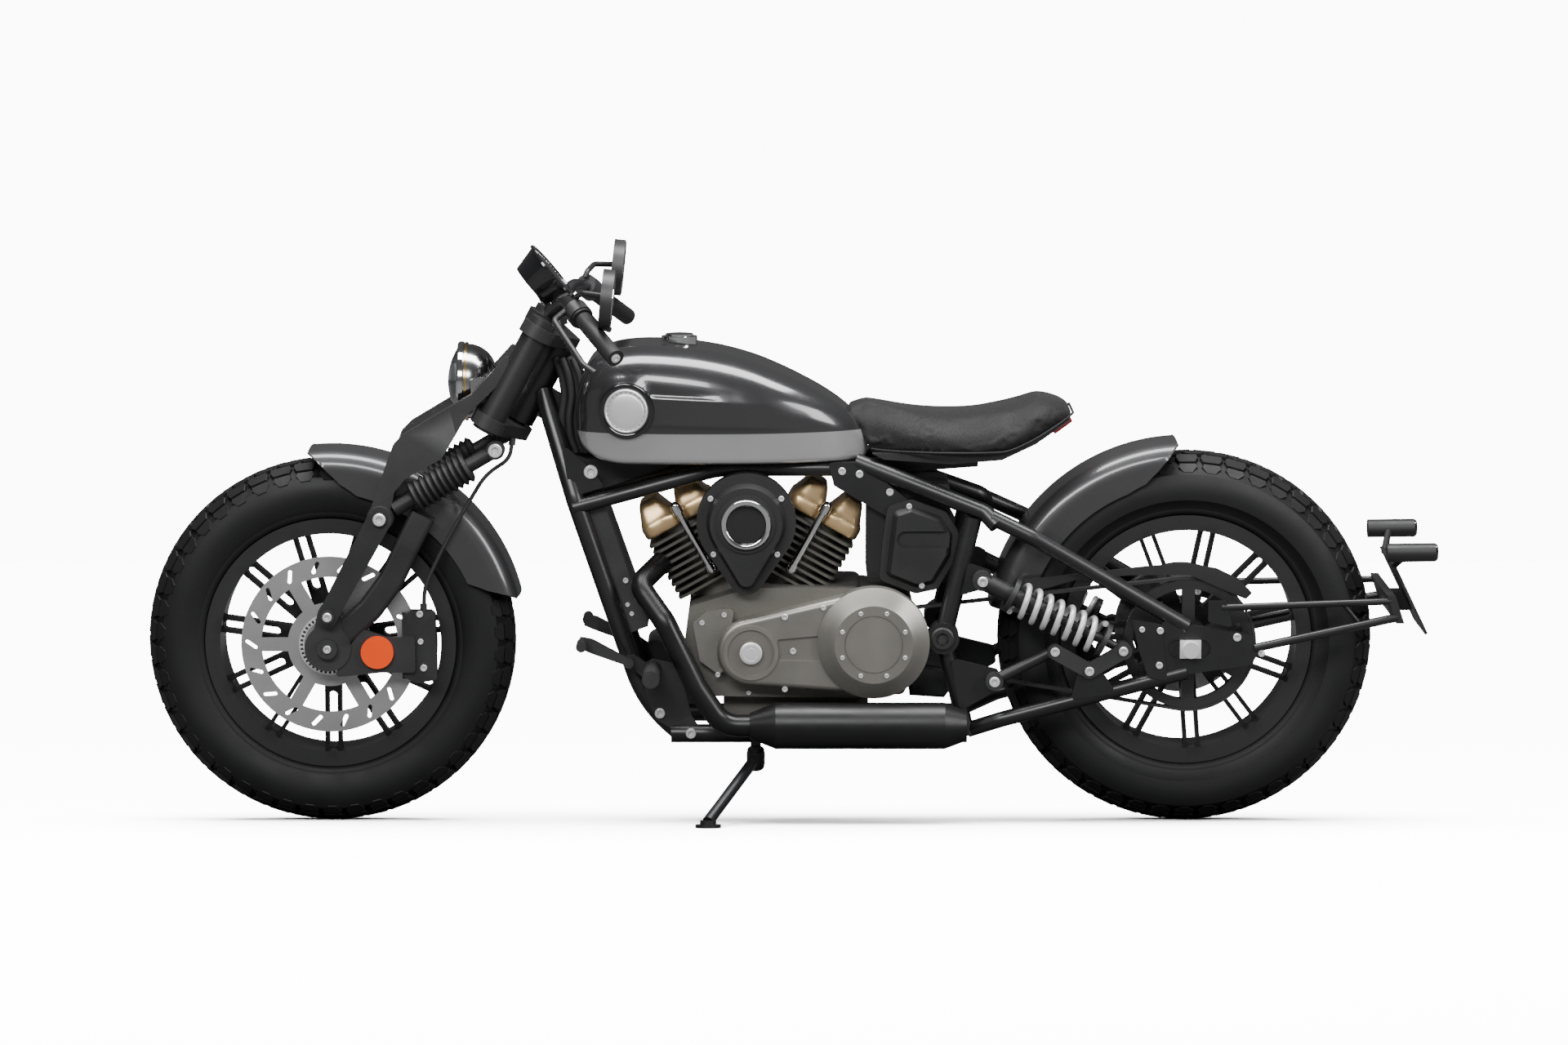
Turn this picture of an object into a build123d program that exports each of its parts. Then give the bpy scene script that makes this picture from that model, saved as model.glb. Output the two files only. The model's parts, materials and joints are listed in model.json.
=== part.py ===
from build123d import *
from math import acos, cos, degrees, radians, sin, tan
import os

# Bobber motorcycle, in millimetres: X forward, Y to its left, Z up.
# It is drawn upright with the floor at zero and x = 0 in the middle of the frame,
# then leaned over onto its side stand at the end.

# Stance and wheels
lean_angle = 8
wheelbase = 1480
front_axle_x = 740
crown_r = 75
front_tyre_r = 319
front_tyre_half = 65
rear_tyre_r = 325
rear_tyre_half = 74
bead_r = 204
rim_lip_r = 217
rim_inner_r = 191
rim_half = 50
lip_width = 6
spoke_count = 11
spoke_width = 29
spoke_half = 13
spoke_slot_width = 15
spoke_slot_inner_r = 91
spoke_slot_outer_r = 190
hub_r = 62
hub_half = 34
axle_r = 9
seat_gap = 0.3
running_gap = 0.05

# Steering
rake = 28.5
steer_x = 386
steer_z = 756.5
fork_offset = 42
fork_half = 100
fork_tube_r = 23.5
stem_r = 15
head_tube_r = 27
head_top = -85
head_bottom = 60
clamp_gap = 5
clamp_thickness = 22
blade_thickness = 28
link_thickness = 16
leg_outer = 110
leg_inner = 82
bellows_r = 29
bellows_start = 66
bellows_end = 176
bellows_folds = 10
bar_r = 11
grip_r = 15
grip_length = 128
headlight_r = 67
gauge_r = 48.5
mirror_r = 50
disc_r = 153
disc_y = 67
disc_thickness = 5
rear_disc_left = -87
caliper_gap = 5
hose_r = 3.5

# Frame
main_tube_r = 16
rail_r = 13
rail_z = 627.7
cross_x = -112
slat_count = 13
slat_pitch = 16
seat_beam_z = 636.7
rail_y = 85
down_tube_y = 80
lower_rail_y = 104
pivot_x = -318
pivot_z = 341
pivot_r = 27
strut_y = 118

# Engine
crank_x = 12
crank_z = 318
vee_half_angle = 29.5
case_left = 110
case_right = -112
barrel_start = 128
barrel_end = 243
fin_pitch = 12.7
fin_count = 9
fin_thickness = 4.5
fin_half = 70
fin_side = 66
pushrod_r = 7
cover_base = 24
cover_rise = 38
barrel_r = 50
cover_outer = 150

# Rear end
swing_y = 140
swing_tube_r = 13.5
belt_y = 92
belt_width = 18
belt_thickness = 5
belt_gap = 0.5
pulley_r = 112
sprocket_r = 42
sprocket_x = -236
sprocket_z = 339
shock_y = 142
shock_inner = 130
link_inner = 138
link_outer = 160
link_back = 151.7
rocker_pivot = (-567, 288)
rod_eye = (-508, 321)
rod_foot = (-405, 269)
spring_r = 32
spring_wire_r = 5
fender_wall = 3
rear_fender_gap = 17
rear_skirt_height = 67
rear_fender_r = rear_tyre_r + rear_fender_gap + fender_wall
rear_fender_skirt_r = rear_fender_r - rear_skirt_height
rear_fender_half = 82
front_fender_gap = 15
front_skirt_height = 75
front_fender_r = front_tyre_r + front_fender_gap + fender_wall
front_fender_skirt_r = front_fender_r - front_skirt_height
front_fender_half = 74

# Number plate holder
plate_bolt_r = 60
plate_hole_r = 3.3
plate_thickness = 5

# Tank and seat
tank_half = 140
tank_bottom = 641
seat_half = 132

# Side stand
stand_x = 4
stand_y = 124
stand_z = 130
stand_forward = 80
stand_length = 190
stand_rod_r = 10
foot_r = 22
foot_thickness = 6

front_axle = (front_axle_x, front_tyre_r)
rear_axle = (front_axle_x - wheelbase, rear_tyre_r)
lift = crown_r * (1 - cos(radians(lean_angle)))
stance = Location((0, 0, lift), (-lean_angle, 0, 0))


def side(y, at=(0, 0)):
    # Side view at lateral place y: x forward, y up, extrusions go to the right
    return Plane(origin=(at[0], y, at[1]), x_dir=(1, 0, 0), z_dir=(0, -1, 0))


def fore(ahead, up, y=None):
    # Point given from the front axle, in side view or at a lateral place
    x = front_axle[0] + ahead
    z = front_axle[1] + up
    return (x, z) if y is None else (x, y, z)


def aft(ahead, up, y=None):
    # Point given from the rear axle, in side view or at a lateral place
    x = rear_axle[0] + ahead
    z = rear_axle[1] + up
    return (x, z) if y is None else (x, y, z)


def radial(axle, angle):
    # Plane through an axle: x runs out along the angle above forward, y to the left
    a = radians(angle)
    return Plane(origin=(axle[0], 0, axle[1]), x_dir=(cos(a), 0, sin(a)), z_dir=(-sin(a), 0, cos(a)))


def steering(down, ahead, y=0):
    # Point at a distance down the steering axis and ahead of it
    a = radians(rake)
    x = steer_x + down * sin(a) + ahead * cos(a)
    z = steer_z - down * cos(a) + ahead * sin(a)
    return (x, y, z)


def across_steering(down):
    # Plane square to the steering axis, x ahead and y to the left
    a = radians(rake)
    return Plane(origin=steering(down, 0), x_dir=(cos(a), 0, sin(a)), z_dir=(-sin(a), 0, cos(a)))


def vee(angle, along, across, y=0):
    # Point along a cylinder's axis and across it, forward positive
    a = radians(angle)
    x = crank_x + along * sin(a) + across * cos(a)
    z = crank_z + along * cos(a) - across * sin(a)
    return (x, y, z)


def across_barrel(angle, along):
    # Plane square to a cylinder's axis
    a = radians(angle)
    return Plane(origin=vee(angle, along, 0), x_dir=(cos(a), 0, -sin(a)), z_dir=(sin(a), 0, cos(a)))


def rod(start, end, radius, mode=Mode.ADD):
    run = Vector(*end) - Vector(*start)
    with BuildSketch(Plane(origin=start, z_dir=run)) as ring:
        Circle(radius)
    extrude(ring.sketch, amount=run.length, mode=mode)


def cone(start, end, start_r, end_r, mode=Mode.ADD):
    run = Vector(*end) - Vector(*start)
    with Locations(Plane(origin=start, z_dir=run)):
        Cone(start_r, end_r, run.length, align=(Align.CENTER, Align.CENTER, Align.MIN), mode=mode)


def tube(points, radius, bend, mode=Mode.ADD):
    with BuildLine() as route:
        FilletPolyline(*points, radius=bend)
    with BuildSketch(Plane(origin=route.line @ 0, z_dir=route.line % 0)) as ring:
        Circle(radius)
    sweep(ring.sketch, path=route.line, mode=mode)


def bend_radii(points):
    # Each bend of a hose as large as its two runs allow
    radii = []
    for before, corner, after in zip(points, points[1:], points[2:]):
        arriving = Vector(*corner) - Vector(*before)
        leaving = Vector(*after) - Vector(*corner)
        turn = radians(arriving.get_angle(leaving))
        radii.append(0.45 * min(arriving.length, leaving.length) / tan(turn / 2))
    return radii


def plate(outline, outer, thickness, bend=0, mode=Mode.ADD):
    # Flat plate of a closed side-view outline, from its left face inwards
    with BuildSketch(side(outer)) as face:
        with BuildLine():
            FilletPolyline(*outline, radius=bend, close=True)
        make_face()
    extrude(face.sketch, amount=thickness, mode=mode)


def drum(centre, outer, thickness, radius, mode=Mode.ADD):
    # Round plate or boss with its axis across the bike
    with BuildSketch(side(outer, centre)) as face:
        Circle(radius)
    extrude(face.sketch, amount=thickness, mode=mode)


def hoop(centre, outer, thickness, radius, inner, mode=Mode.ADD):
    with BuildSketch(side(outer, centre)) as face:
        Circle(radius)
        Circle(inner, mode=Mode.SUBTRACT)
    extrude(face.sketch, amount=thickness, mode=mode)


def finish(piece, label):
    # Leans the upright piece onto the stand, names it and writes it
    parked = piece.part.moved(centring * stance)
    parked.label = label
    export_step(parked, f"parts/{label}.step")


def make_tyre(axle, radius, half):
    # A rounded crown, a shoulder and a sidewall down to the bead inside the rim's lip
    edge = radians(38)
    shoulder = (radius - crown_r + crown_r * cos(edge), crown_r * sin(edge))
    belly = (bead_r + 52, half)
    ankle = (rim_lip_r + 8, rim_half + 4)
    bead = rim_half - lip_width - seat_gap
    with BuildPart() as tyre:
        with BuildSketch(radial(axle, 0)) as section:
            with BuildLine():
                ThreePointArc((shoulder[0], -shoulder[1]), (radius, 0), shoulder)
                Line(shoulder, belly)
                Line(belly, ankle)
                Line(ankle, (ankle[0], bead))
                Line((ankle[0], bead), (bead_r, bead))
                Line((bead_r, bead), (bead_r, -bead))
                Line((bead_r, -bead), (ankle[0], -bead))
                Line((ankle[0], -bead), (ankle[0], -ankle[1]))
                Line((ankle[0], -ankle[1]), (belly[0], -belly[1]))
                Line((belly[0], -belly[1]), (shoulder[0], -shoulder[1]))
            make_face()
        revolve(axis=Axis((axle[0], 0, axle[1]), (0, 1, 0)))
    return tyre


def make_rim(axle, first_spoke, left_boss, right_boss):
    # Cast wheel: lipped ring, slotted spokes and a hub with bosses for disc and pulley
    with BuildPart() as rim:
        with BuildSketch(radial(axle, 0)) as section:
            with BuildLine():
                Polyline(
                    (rim_inner_r, -rim_half),
                    (rim_lip_r, -rim_half),
                    (rim_lip_r, lip_width - rim_half),
                    (bead_r - seat_gap, lip_width - rim_half),
                    (bead_r - seat_gap, rim_half - lip_width),
                    (rim_lip_r, rim_half - lip_width),
                    (rim_lip_r, rim_half),
                    (rim_inner_r, rim_half),
                    close=True,
                )
            make_face()
        revolve(axis=Axis((axle[0], 0, axle[1]), (0, 1, 0)))
        with BuildSketch(side(spoke_half, axle)) as spokes:
            with PolarLocations(0, spoke_count, first_spoke):
                with Locations(((hub_r + rim_inner_r) / 2, 0)):
                    Rectangle(rim_inner_r - hub_r + 12, spoke_width)
                with Locations(((spoke_slot_inner_r + spoke_slot_outer_r) / 2, 0)):
                    SlotOverall(
                        spoke_slot_outer_r - spoke_slot_inner_r,
                        spoke_slot_width,
                        mode=Mode.SUBTRACT,
                    )
        extrude(amount=2 * spoke_half)
        drum(axle, hub_half, 2 * hub_half, hub_r)
        drum(axle, left_boss, left_boss, hub_r - 22)
        drum(axle, 0, -right_boss, hub_r - 22)
        drum(axle, left_boss, left_boss - right_boss, axle_r + running_gap, mode=Mode.SUBTRACT)
    return rim


# Front wheel
front_tyre = make_tyre(front_axle, front_tyre_r, front_tyre_half)
front_rim = make_rim(front_axle, 270, disc_y - disc_thickness - seat_gap, -55)

with BuildPart() as front_disc:
    with BuildSketch(side(disc_y, front_axle)):
        Circle(disc_r)
        Circle(118, mode=Mode.SUBTRACT)
        Circle(73)
        with PolarLocations(0, 6):
            with Locations((96, 0)):
                Rectangle(56, 24)
        Circle(24, mode=Mode.SUBTRACT)
        with PolarLocations(135.5, 18):
            SlotOverall(24, 7, rotation=35, mode=Mode.SUBTRACT)
    extrude(amount=disc_thickness)

# Rear wheel
pulley_left = belt_y + belt_width / 2
pulley_right = belt_y - belt_width / 2
rear_tyre = make_tyre(rear_axle, rear_tyre_r, rear_tyre_half)
rear_rim = make_rim(rear_axle, 265.5, pulley_right - seat_gap, rear_disc_left + seat_gap)

with BuildPart() as rear_pulley:
    with BuildSketch(side(pulley_left, rear_axle)):
        Circle(pulley_r)
        Circle(96, mode=Mode.SUBTRACT)
        Circle(40)
        with PolarLocations(0, 6, 30):
            with Locations((68, 0)):
                Rectangle(64, 22)
        Circle(20, mode=Mode.SUBTRACT)
    extrude(amount=belt_width)

with BuildPart() as rear_disc:
    with BuildSketch(side(rear_disc_left, rear_axle)):
        Circle(115)
        Circle(86, mode=Mode.SUBTRACT)
        Circle(56)
        with PolarLocations(0, 5):
            with Locations((71, 0)):
                Rectangle(40, 22)
        Circle(24, mode=Mode.SUBTRACT)
    extrude(amount=disc_thickness)

# Frame: head, backbone, down tubes, rails and rear triangle
with BuildPart() as frame_head:
    rod(steering(head_top, 0), steering(head_bottom, 0), head_tube_r)
    with BuildSketch(side(12)) as gusset:
        Polygon((364, 762), (250, 690), (250, 655), (398, 716), align=None)
    extrude(amount=24)
    rod((300, 0, 668), (cross_x, 0, 638), 20)
    plate([(cross_x + 10, 634), (-380, seat_beam_z), (-380, 622), (-240, 612), (cross_x + 10, 618)], 15, 30)
    rod(steering(head_top - 1, 0), steering(head_bottom + 1, 0), stem_r + running_gap, mode=Mode.SUBTRACT)

with BuildPart() as frame_down_tubes:
    points = [(372, 16, 755), (314, down_tube_y, 572), (194, down_tube_y, 219), (138, 92, 172)]
    tube(points, main_tube_r, [60, 200])
    plate([(338, 672), (296, 636), (262, 596), (322, 578)], down_tube_y + 4, 8, 6)
    mirror(about=Plane.XZ)
    rod(steering(head_top - 1, 0), steering(head_bottom + 1, 0), head_tube_r, mode=Mode.SUBTRACT)
    add(frame_head.part, mode=Mode.SUBTRACT)

with BuildPart() as frame_lower_rails:
    rod((150, lower_rail_y, 170), (-360, lower_rail_y, 170), main_tube_r)
    mirror(about=Plane.XZ)
    add(frame_down_tubes.part, mode=Mode.SUBTRACT)

with BuildPart() as frame_upper_rails:
    points = [(317, rail_y, 560), (67, rail_y, rail_z), (-150, rail_y, rail_z)]
    tube(points, rail_r, 200)
    rod((cross_x, 0, rail_z - 1), (cross_x, rail_y, rail_z - 1), rail_r - 1)
    outline = [(-120, 640), (-176, 640), (-262, 572), (-232, 540), (-130, 600)]
    plate(outline, rail_y + 14, 20, 6)
    points = [(-168, rail_y, 640), (-389, 120, 556), (-409, 132, 536)]
    tube(points, main_tube_r - 1, 30)
    mirror(about=Plane.XZ)
    add(frame_down_tubes.part, mode=Mode.SUBTRACT)
    add(frame_head.part, mode=Mode.SUBTRACT)

with BuildPart() as frame_pivot_struts:
    rod((-368, strut_y, 548), (pivot_x, strut_y, pivot_z), main_tube_r)
    rod((pivot_x, strut_y, pivot_z), (-360, strut_y - 4, 170), main_tube_r - 2)
    drum((pivot_x, pivot_z), strut_y + 24, 48, pivot_r)
    plate([(-338, 478), (-400, 456), (-400, 430), (-334, 410)], shock_inner - seat_gap, 12, 6)
    plate([(-330, 306), (-412, 286), (-420, 256), (-346, 214)], link_inner - seat_gap, 14, 8)
    mirror(about=Plane.XZ)
    drum((pivot_x, pivot_z), 150, 300, 8.3, mode=Mode.SUBTRACT)
    add(frame_upper_rails.part, mode=Mode.SUBTRACT)
    add(frame_lower_rails.part, mode=Mode.SUBTRACT)

# Engine
with BuildPart() as crankcase:
    front_case = [(118, 392), (130, 300), (92, 236), (-178, 233), (-178, 420), (12, 425)]
    plate(front_case, case_left, case_left - case_right, 12)
    rear_case = [(-100, 233), (-250, 233), (-285, 300), (-262, 405), (-100, 422)]
    plate(rear_case, pulley_right - 5, pulley_right - 5 - case_right, 12)
    plate([(60, 240), (60, 190), (-190, 190), (-190, 240)], 80, 160, 10)
    add(frame_down_tubes.part, mode=Mode.SUBTRACT)
    add(frame_pivot_struts.part, mode=Mode.SUBTRACT)

with BuildPart() as cylinders:
    for angle in (vee_half_angle, -vee_half_angle):
        with BuildSketch(across_barrel(angle, 60)) as barrel:
            Circle(barrel_r)
        extrude(barrel.sketch, amount=barrel_end - 60)
        for number in range(fin_count):
            with BuildSketch(across_barrel(angle, barrel_start + number * fin_pitch)) as fin:
                RectangleRounded(2 * fin_half, 2 * fin_side, 22)
            extrude(fin.sketch, amount=fin_thickness)
    add(crankcase.part, mode=Mode.SUBTRACT)

pushrod_y = fin_side + pushrod_r + seat_gap
with BuildPart() as head_covers:
    for angle in (vee_half_angle, -vee_half_angle):
        with BuildSketch(across_barrel(angle, barrel_end + seat_gap)) as base:
            RectangleRounded(136, 130, 20)
        extrude(base.sketch, amount=cover_base)
        for across in (-33, 35):
            with BuildSketch(across_barrel(angle, barrel_end + cover_base)) as lobe:
                with Locations((across, 0)):
                    RectangleRounded(62, 122, 16)
            extrude(lobe.sketch, amount=cover_rise, taper=22)
        tube_x = -6 if angle > 0 else 6
        groove_foot = vee(angle, barrel_end, tube_x, pushrod_y)
        groove_top = vee(angle, barrel_end + cover_base + cover_rise, tube_x, pushrod_y)
        rod(groove_foot, groove_top, 15, mode=Mode.SUBTRACT)

with BuildPart() as pushrod_tubes:
    for angle, across in ((vee_half_angle, -6), (-vee_half_angle, 6)):
        foot = vee(angle, 150, across, pushrod_y)
        crown = vee(angle, 275, across, pushrod_y)
        rod(foot, crown, pushrod_r)
        rod(foot, vee(angle, 160, across, pushrod_y), pushrod_r + 3)
        rod(vee(angle, 262, across, pushrod_y), crown, pushrod_r + 3)
    add(cylinders.part, mode=Mode.SUBTRACT)
    add(head_covers.part, mode=Mode.SUBTRACT)

cleaner_x = 20
cleaner_z = 541
cleaner_r = 85
with BuildPart() as air_cleaner:
    for outer, thickness, big, small, lean_in in ((134, 29, cleaner_r, 31, 0), (134, -22, 68, 20, 16)):
        with BuildSketch(side(outer, (cleaner_x, cleaner_z))) as drop:
            Circle(big)
            with Locations((0, -94)):
                Circle(small)
            make_hull()
        extrude(drop.sketch, amount=thickness, taper=lean_in)
    drum((cleaner_x, cleaner_z), 160, 10, 50)
    drum((cleaner_x, cleaner_z), 104 + seat_gap, 40, 34)
    hoop((cleaner_x, cleaner_z), 165, 8, 43, 34)
    add(crankcase.part, mode=Mode.SUBTRACT)
    add(pushrod_tubes.part, mode=Mode.SUBTRACT)

clutch_centre = (-198, 335)
with BuildPart() as engine_covers:
    with BuildSketch(side(cover_outer, (crank_x, crank_z))) as belt_case:
        Circle(58)
        with Locations((clutch_centre[0] - crank_x, clutch_centre[1] - crank_z)):
            Circle(90)
        make_hull()
    extrude(amount=cover_outer - case_left - seat_gap)
    fillet(engine_covers.faces().sort_by(Axis.Y)[-1].edges(), 10)
    plate([(-34, 341), (-108, 348), (-108, 303), (-34, 304)], cover_outer + 1, 7, 2, mode=Mode.SUBTRACT)
    hoop((crank_x, crank_z), cover_outer + 4, 8, 47, 40)
    drum((crank_x, crank_z), cover_outer + 6, 10, 20)
    drum(clutch_centre, cover_outer + 3, 30, 96)
    clutch_face = (clutch_centre[0], cover_outer + 3, clutch_centre[1])
    cone(clutch_face, Vector(*clutch_face) + (0, 19, 0), 96, 67)
    hoop(clutch_centre, cover_outer + 23, 3, 50, 48, mode=Mode.SUBTRACT)
    plate([(112, 366), (88, 386), (40, 392), (62, 272), (100, 300)], case_left + 16, 16 - seat_gap, 8)
    drum((crank_x, crank_z), case_right - seat_gap, 34, 92)
    drum((-190, 330), case_right - seat_gap, 26, 70)
    add(frame_pivot_struts.part, mode=Mode.SUBTRACT)

with BuildPart() as exhaust:
    front = [(166, 60, 462), (205, 112, 430), (160, 148, 372), (104, 158, 258), (60, 160, 193), (8, 160, 193)]
    tube(front, 19, [30, 40, 60, 50])
    cone((14, 160, 193), (-30, 160, 193), 22, 40)
    rod((-30, 160, 193), (-320, 160, 193), 40)
    cone((-320, 160, 193), (-357, 160, 193), 40, 26)
    rod((-357, 160, 193), (-340, 160, 193), 20, mode=Mode.SUBTRACT)
    add(cylinders.part, mode=Mode.SUBTRACT)

# Radiator, tank, seat and side cover
radiator_half = down_tube_y - 5
with BuildPart() as radiator:
    with BuildSketch(side(radiator_half)) as core:
        Polygon((300, 566), (268, 574), (190, 352), (222, 340), align=None)
    extrude(amount=2 * radiator_half)
    run = Vector(300 - 222, 0, 566 - 340).normalized()
    for number in range(slat_count):
        low = Vector(222, 0, 340) + run * (14 + number * slat_pitch)
        high = low + run * (slat_pitch - 4)
        corners = [(low.X - 5, low.Z), (low.X + 6, low.Z), (high.X + 6, high.Z), (high.X - 5, high.Z)]
        plate(corners, radiator_half - 14, 2 * radiator_half - 28, mode=Mode.SUBTRACT)
    add(frame_down_tubes.part, mode=Mode.SUBTRACT)
    add(frame_upper_rails.part, mode=Mode.SUBTRACT)

tank_sections = [  # x, half width, bottom, top, corner radius
    (311, 74, 668, 756, 30),
    (292, 104, 648, 800, 48),
    (240, 128, tank_bottom, 833, 64),
    (130, tank_half, tank_bottom, 838, 72),
    (-20, 132, tank_bottom, 804, 70),
    (-130, 98, tank_bottom, 746, 42),
    (-186, 60, 646, 684, 14),
]
with BuildPart() as fuel_tank:
    for x, half, low, high, corner in tank_sections:
        with BuildSketch(Plane(origin=(x, 0, 0), x_dir=(0, 1, 0), z_dir=(1, 0, 0))):
            with BuildLine():
                FilletPolyline(
                    (-half, low),
                    (half, low),
                    (half, high),
                    (-half, high),
                    radius=[8, 8, corner, corner],
                    close=True,
                )
            make_face()
    loft()
    with BuildSketch(side(30)) as tunnel:
        Polygon((400, 600), (400, 770), (240, 700), (-200, 700), (-200, 600), align=None)
    extrude(tunnel.sketch, amount=60, mode=Mode.SUBTRACT)

with BuildPart() as fuel_cap:
    rod((136, 0, 834), (136, 0, 848), 31)
    rod((136, 0, 848), (136, 0, 852), 24)
    add(fuel_tank.part, mode=Mode.SUBTRACT)

with BuildPart() as seat_pan:
    under = [(-196, 655), (-216, 645), (-332, 637), (-418, 644), (-475, 671), (-533, 712)]
    over = [(-504, 697), (-467, 677), (-429, 661)]
    plate(under + over, 100, 200)
    add(frame_upper_rails.part, mode=Mode.SUBTRACT)

with BuildPart() as seat_pad:
    outline = [(-196, 738), (-246, 723), (-332, 715), (-418, 725), (-512, 744), (-543, 728), (-533, 713)]
    lower = [(-504, 698), (-467, 678), (-429, 662), (-196, 656)]
    plate(outline + lower, seat_half, 2 * seat_half, [14, 60, 90, 60, 12, 8, 3, 3, 20, 20, 8])
    with BuildSketch(Plane.XY.offset(600)):
        with BuildLine():
            FilletPolyline(
                (-196, 62), (-330, seat_half), (-440, seat_half), (-545, 70),
                (-545, -70), (-440, -seat_half), (-330, -seat_half), (-196, -62),
                radius=[20, 80, 60, 40, 40, 60, 80, 20],
                close=True,
            )
        make_face()
    extrude(amount=200, mode=Mode.INTERSECT)

with BuildPart() as side_covers:
    top_edge = [(-222, 564), (-262, 578), (-322, 556), (-344, 520), (-340, 478)]
    low_edge = [(-308, 422), (-270, 414), (-208, 438), (-214, 508)]
    plate(top_edge + low_edge, 108, 36, 14)
    with BuildSketch(side(108)) as bulge:
        with BuildLine():
            FilletPolyline(
                (-232, 556), (-262, 566), (-314, 548), (-333, 518),
                (-330, 480), (-302, 432), (-270, 425), (-219, 446),
                radius=12,
                close=True,
            )
        make_face()
    extrude(bulge.sketch, amount=-14, taper=30)
    with BuildSketch(side(124)) as slot:
        with Locations((-297, 509.5)):
            SlotOverall(118, 29)
    extrude(slot.sketch, amount=9, mode=Mode.SUBTRACT)
    plate([(-187, 600), (-330, 600), (-330, 430), (-187, 430)], 78, 78, 10)
    mirror(about=Plane.XZ)
    add(frame_pivot_struts.part, mode=Mode.SUBTRACT)
    add(frame_upper_rails.part, mode=Mode.SUBTRACT)

# Rear suspension, drive and fender
upper_knee = (-470, swing_y, 516)
upper_end = aft(5, 37, swing_y)
lower_knee = (-419, swing_y - 6, 200)
lower_end = aft(5, -41, swing_y)


def on_lower_tube(x, up):
    # Side-view point above the middle of the swingarm's lower tube
    slope = (lower_end[2] - lower_knee[2]) / (lower_end[0] - lower_knee[0])
    return (x, lower_knee[2] + slope * (x - lower_knee[0]) + up)


with BuildPart() as swingarm:
    tube([(-400, 128, 549), upper_knee, upper_end], swing_tube_r, 60)
    tube([(pivot_x - 44, 112, 178), lower_knee, lower_end], swing_tube_r, 60)
    plate([aft(50, 49), aft(-105, 24), aft(-120, -2), aft(-105, -28), aft(50, -51)], swing_y + 10, 14, 8)
    plate([aft(100, 51), aft(50, 43), aft(39, -56), aft(72, -49), aft(88, -3)], swing_y + 14, 10, 4)
    crown = [(-548, 288), (-567, 304), (-586, 290)]
    toe = [on_lower_tube(-610, 5), on_lower_tube(-604, -3)]
    plate([on_lower_tube(-536, 5)] + crown + toe, link_back, 12, 6)
    drum(rocker_pivot, link_outer + 3, 20, 5)
    mirror(about=Plane.XZ)
    with BuildSketch(side(swing_y + 11, rear_axle)) as slot:
        with Locations((2, 0)):
            SlotOverall(74, 32)
    extrude(slot.sketch, amount=6, mode=Mode.SUBTRACT)
    with BuildSketch(side(-swing_y - 5, rear_axle)) as slot:
        with Locations((2, 0)):
            SlotOverall(74, 32)
    extrude(slot.sketch, amount=6, mode=Mode.SUBTRACT)
    drum(rear_axle, 200, 400, axle_r, mode=Mode.SUBTRACT)
    add(frame_upper_rails.part, mode=Mode.SUBTRACT)
    add(frame_lower_rails.part, mode=Mode.SUBTRACT)
    add(frame_pivot_struts.part, mode=Mode.SUBTRACT)

with BuildPart() as rear_axle_shaft:
    drum(rear_axle, swing_y + 26, 2 * swing_y + 52, axle_r)
    with BuildSketch(side(swing_y + 18, rear_axle)) as block:
        Rectangle(36, 31)
    extrude(block.sketch, amount=13)
    drum(rear_axle, swing_y + 30, 14, 14)
    mirror(about=Plane.XZ)

with BuildPart() as rear_caliper:
    jaw = [aft(50, 100), aft(100, 71), aft(106, 47), aft(76, 27), aft(34, 59)]
    plate(jaw, -68, 46, 6)
    carrier_top = [aft(40, 93), aft(88, 67), aft(92, 41)]
    carrier_foot = [aft(22, -17), aft(-22, -17), aft(-26, 17), aft(-4, 21)]
    plate(carrier_top + carrier_foot, -110, 8, 6)
    drum(rear_axle, -110, 25.7, 17)
    rotor_slot = disc_thickness + 2 * caliper_gap
    drum(rear_axle, rear_disc_left + caliper_gap, rotor_slot, 120, mode=Mode.SUBTRACT)
    add(rear_axle_shaft.part, mode=Mode.SUBTRACT)

# The fender's stay stands where the swingarm's upper tube crosses the fender's skirt
tube_run = (Vector(*upper_knee) - Vector(*upper_end)).normalized()
end_offset = Vector(*upper_end) - Vector(*aft(0, 0, swing_y))
past_foot = end_offset.dot(tube_run)
stay_reach = (past_foot**2 - end_offset.length**2 + (rear_fender_skirt_r + 7) ** 2) ** 0.5 - past_foot
stay_point = Vector(*upper_end) + tube_run * stay_reach
fender_stay = (stay_point.X, stay_point.Z)
with BuildPart() as rear_fender:
    with BuildSketch(radial(rear_axle, 10)):
        with BuildLine():
            FilletPolyline(
                (rear_fender_skirt_r, rear_fender_half),
                (rear_fender_r, rear_fender_half),
                (rear_fender_r, -rear_fender_half),
                (rear_fender_skirt_r, -rear_fender_half),
                (rear_fender_skirt_r, fender_wall - rear_fender_half),
                (rear_fender_r - fender_wall, fender_wall - rear_fender_half),
                (rear_fender_r - fender_wall, rear_fender_half - fender_wall),
                (rear_fender_skirt_r, rear_fender_half - fender_wall),
                radius=[0, 20, 20, 0, 0, 17, 17, 0],
                close=True,
            )
        make_face()
    revolve(axis=Axis((rear_axle[0], 0, rear_axle[1]), (0, -1, 0)), revolution_arc=77)
    drum(fender_stay, swing_y, swing_y - rear_fender_half + 1, 8)
    mirror(about=Plane.XZ)
    add(swingarm.part, mode=Mode.SUBTRACT)

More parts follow.
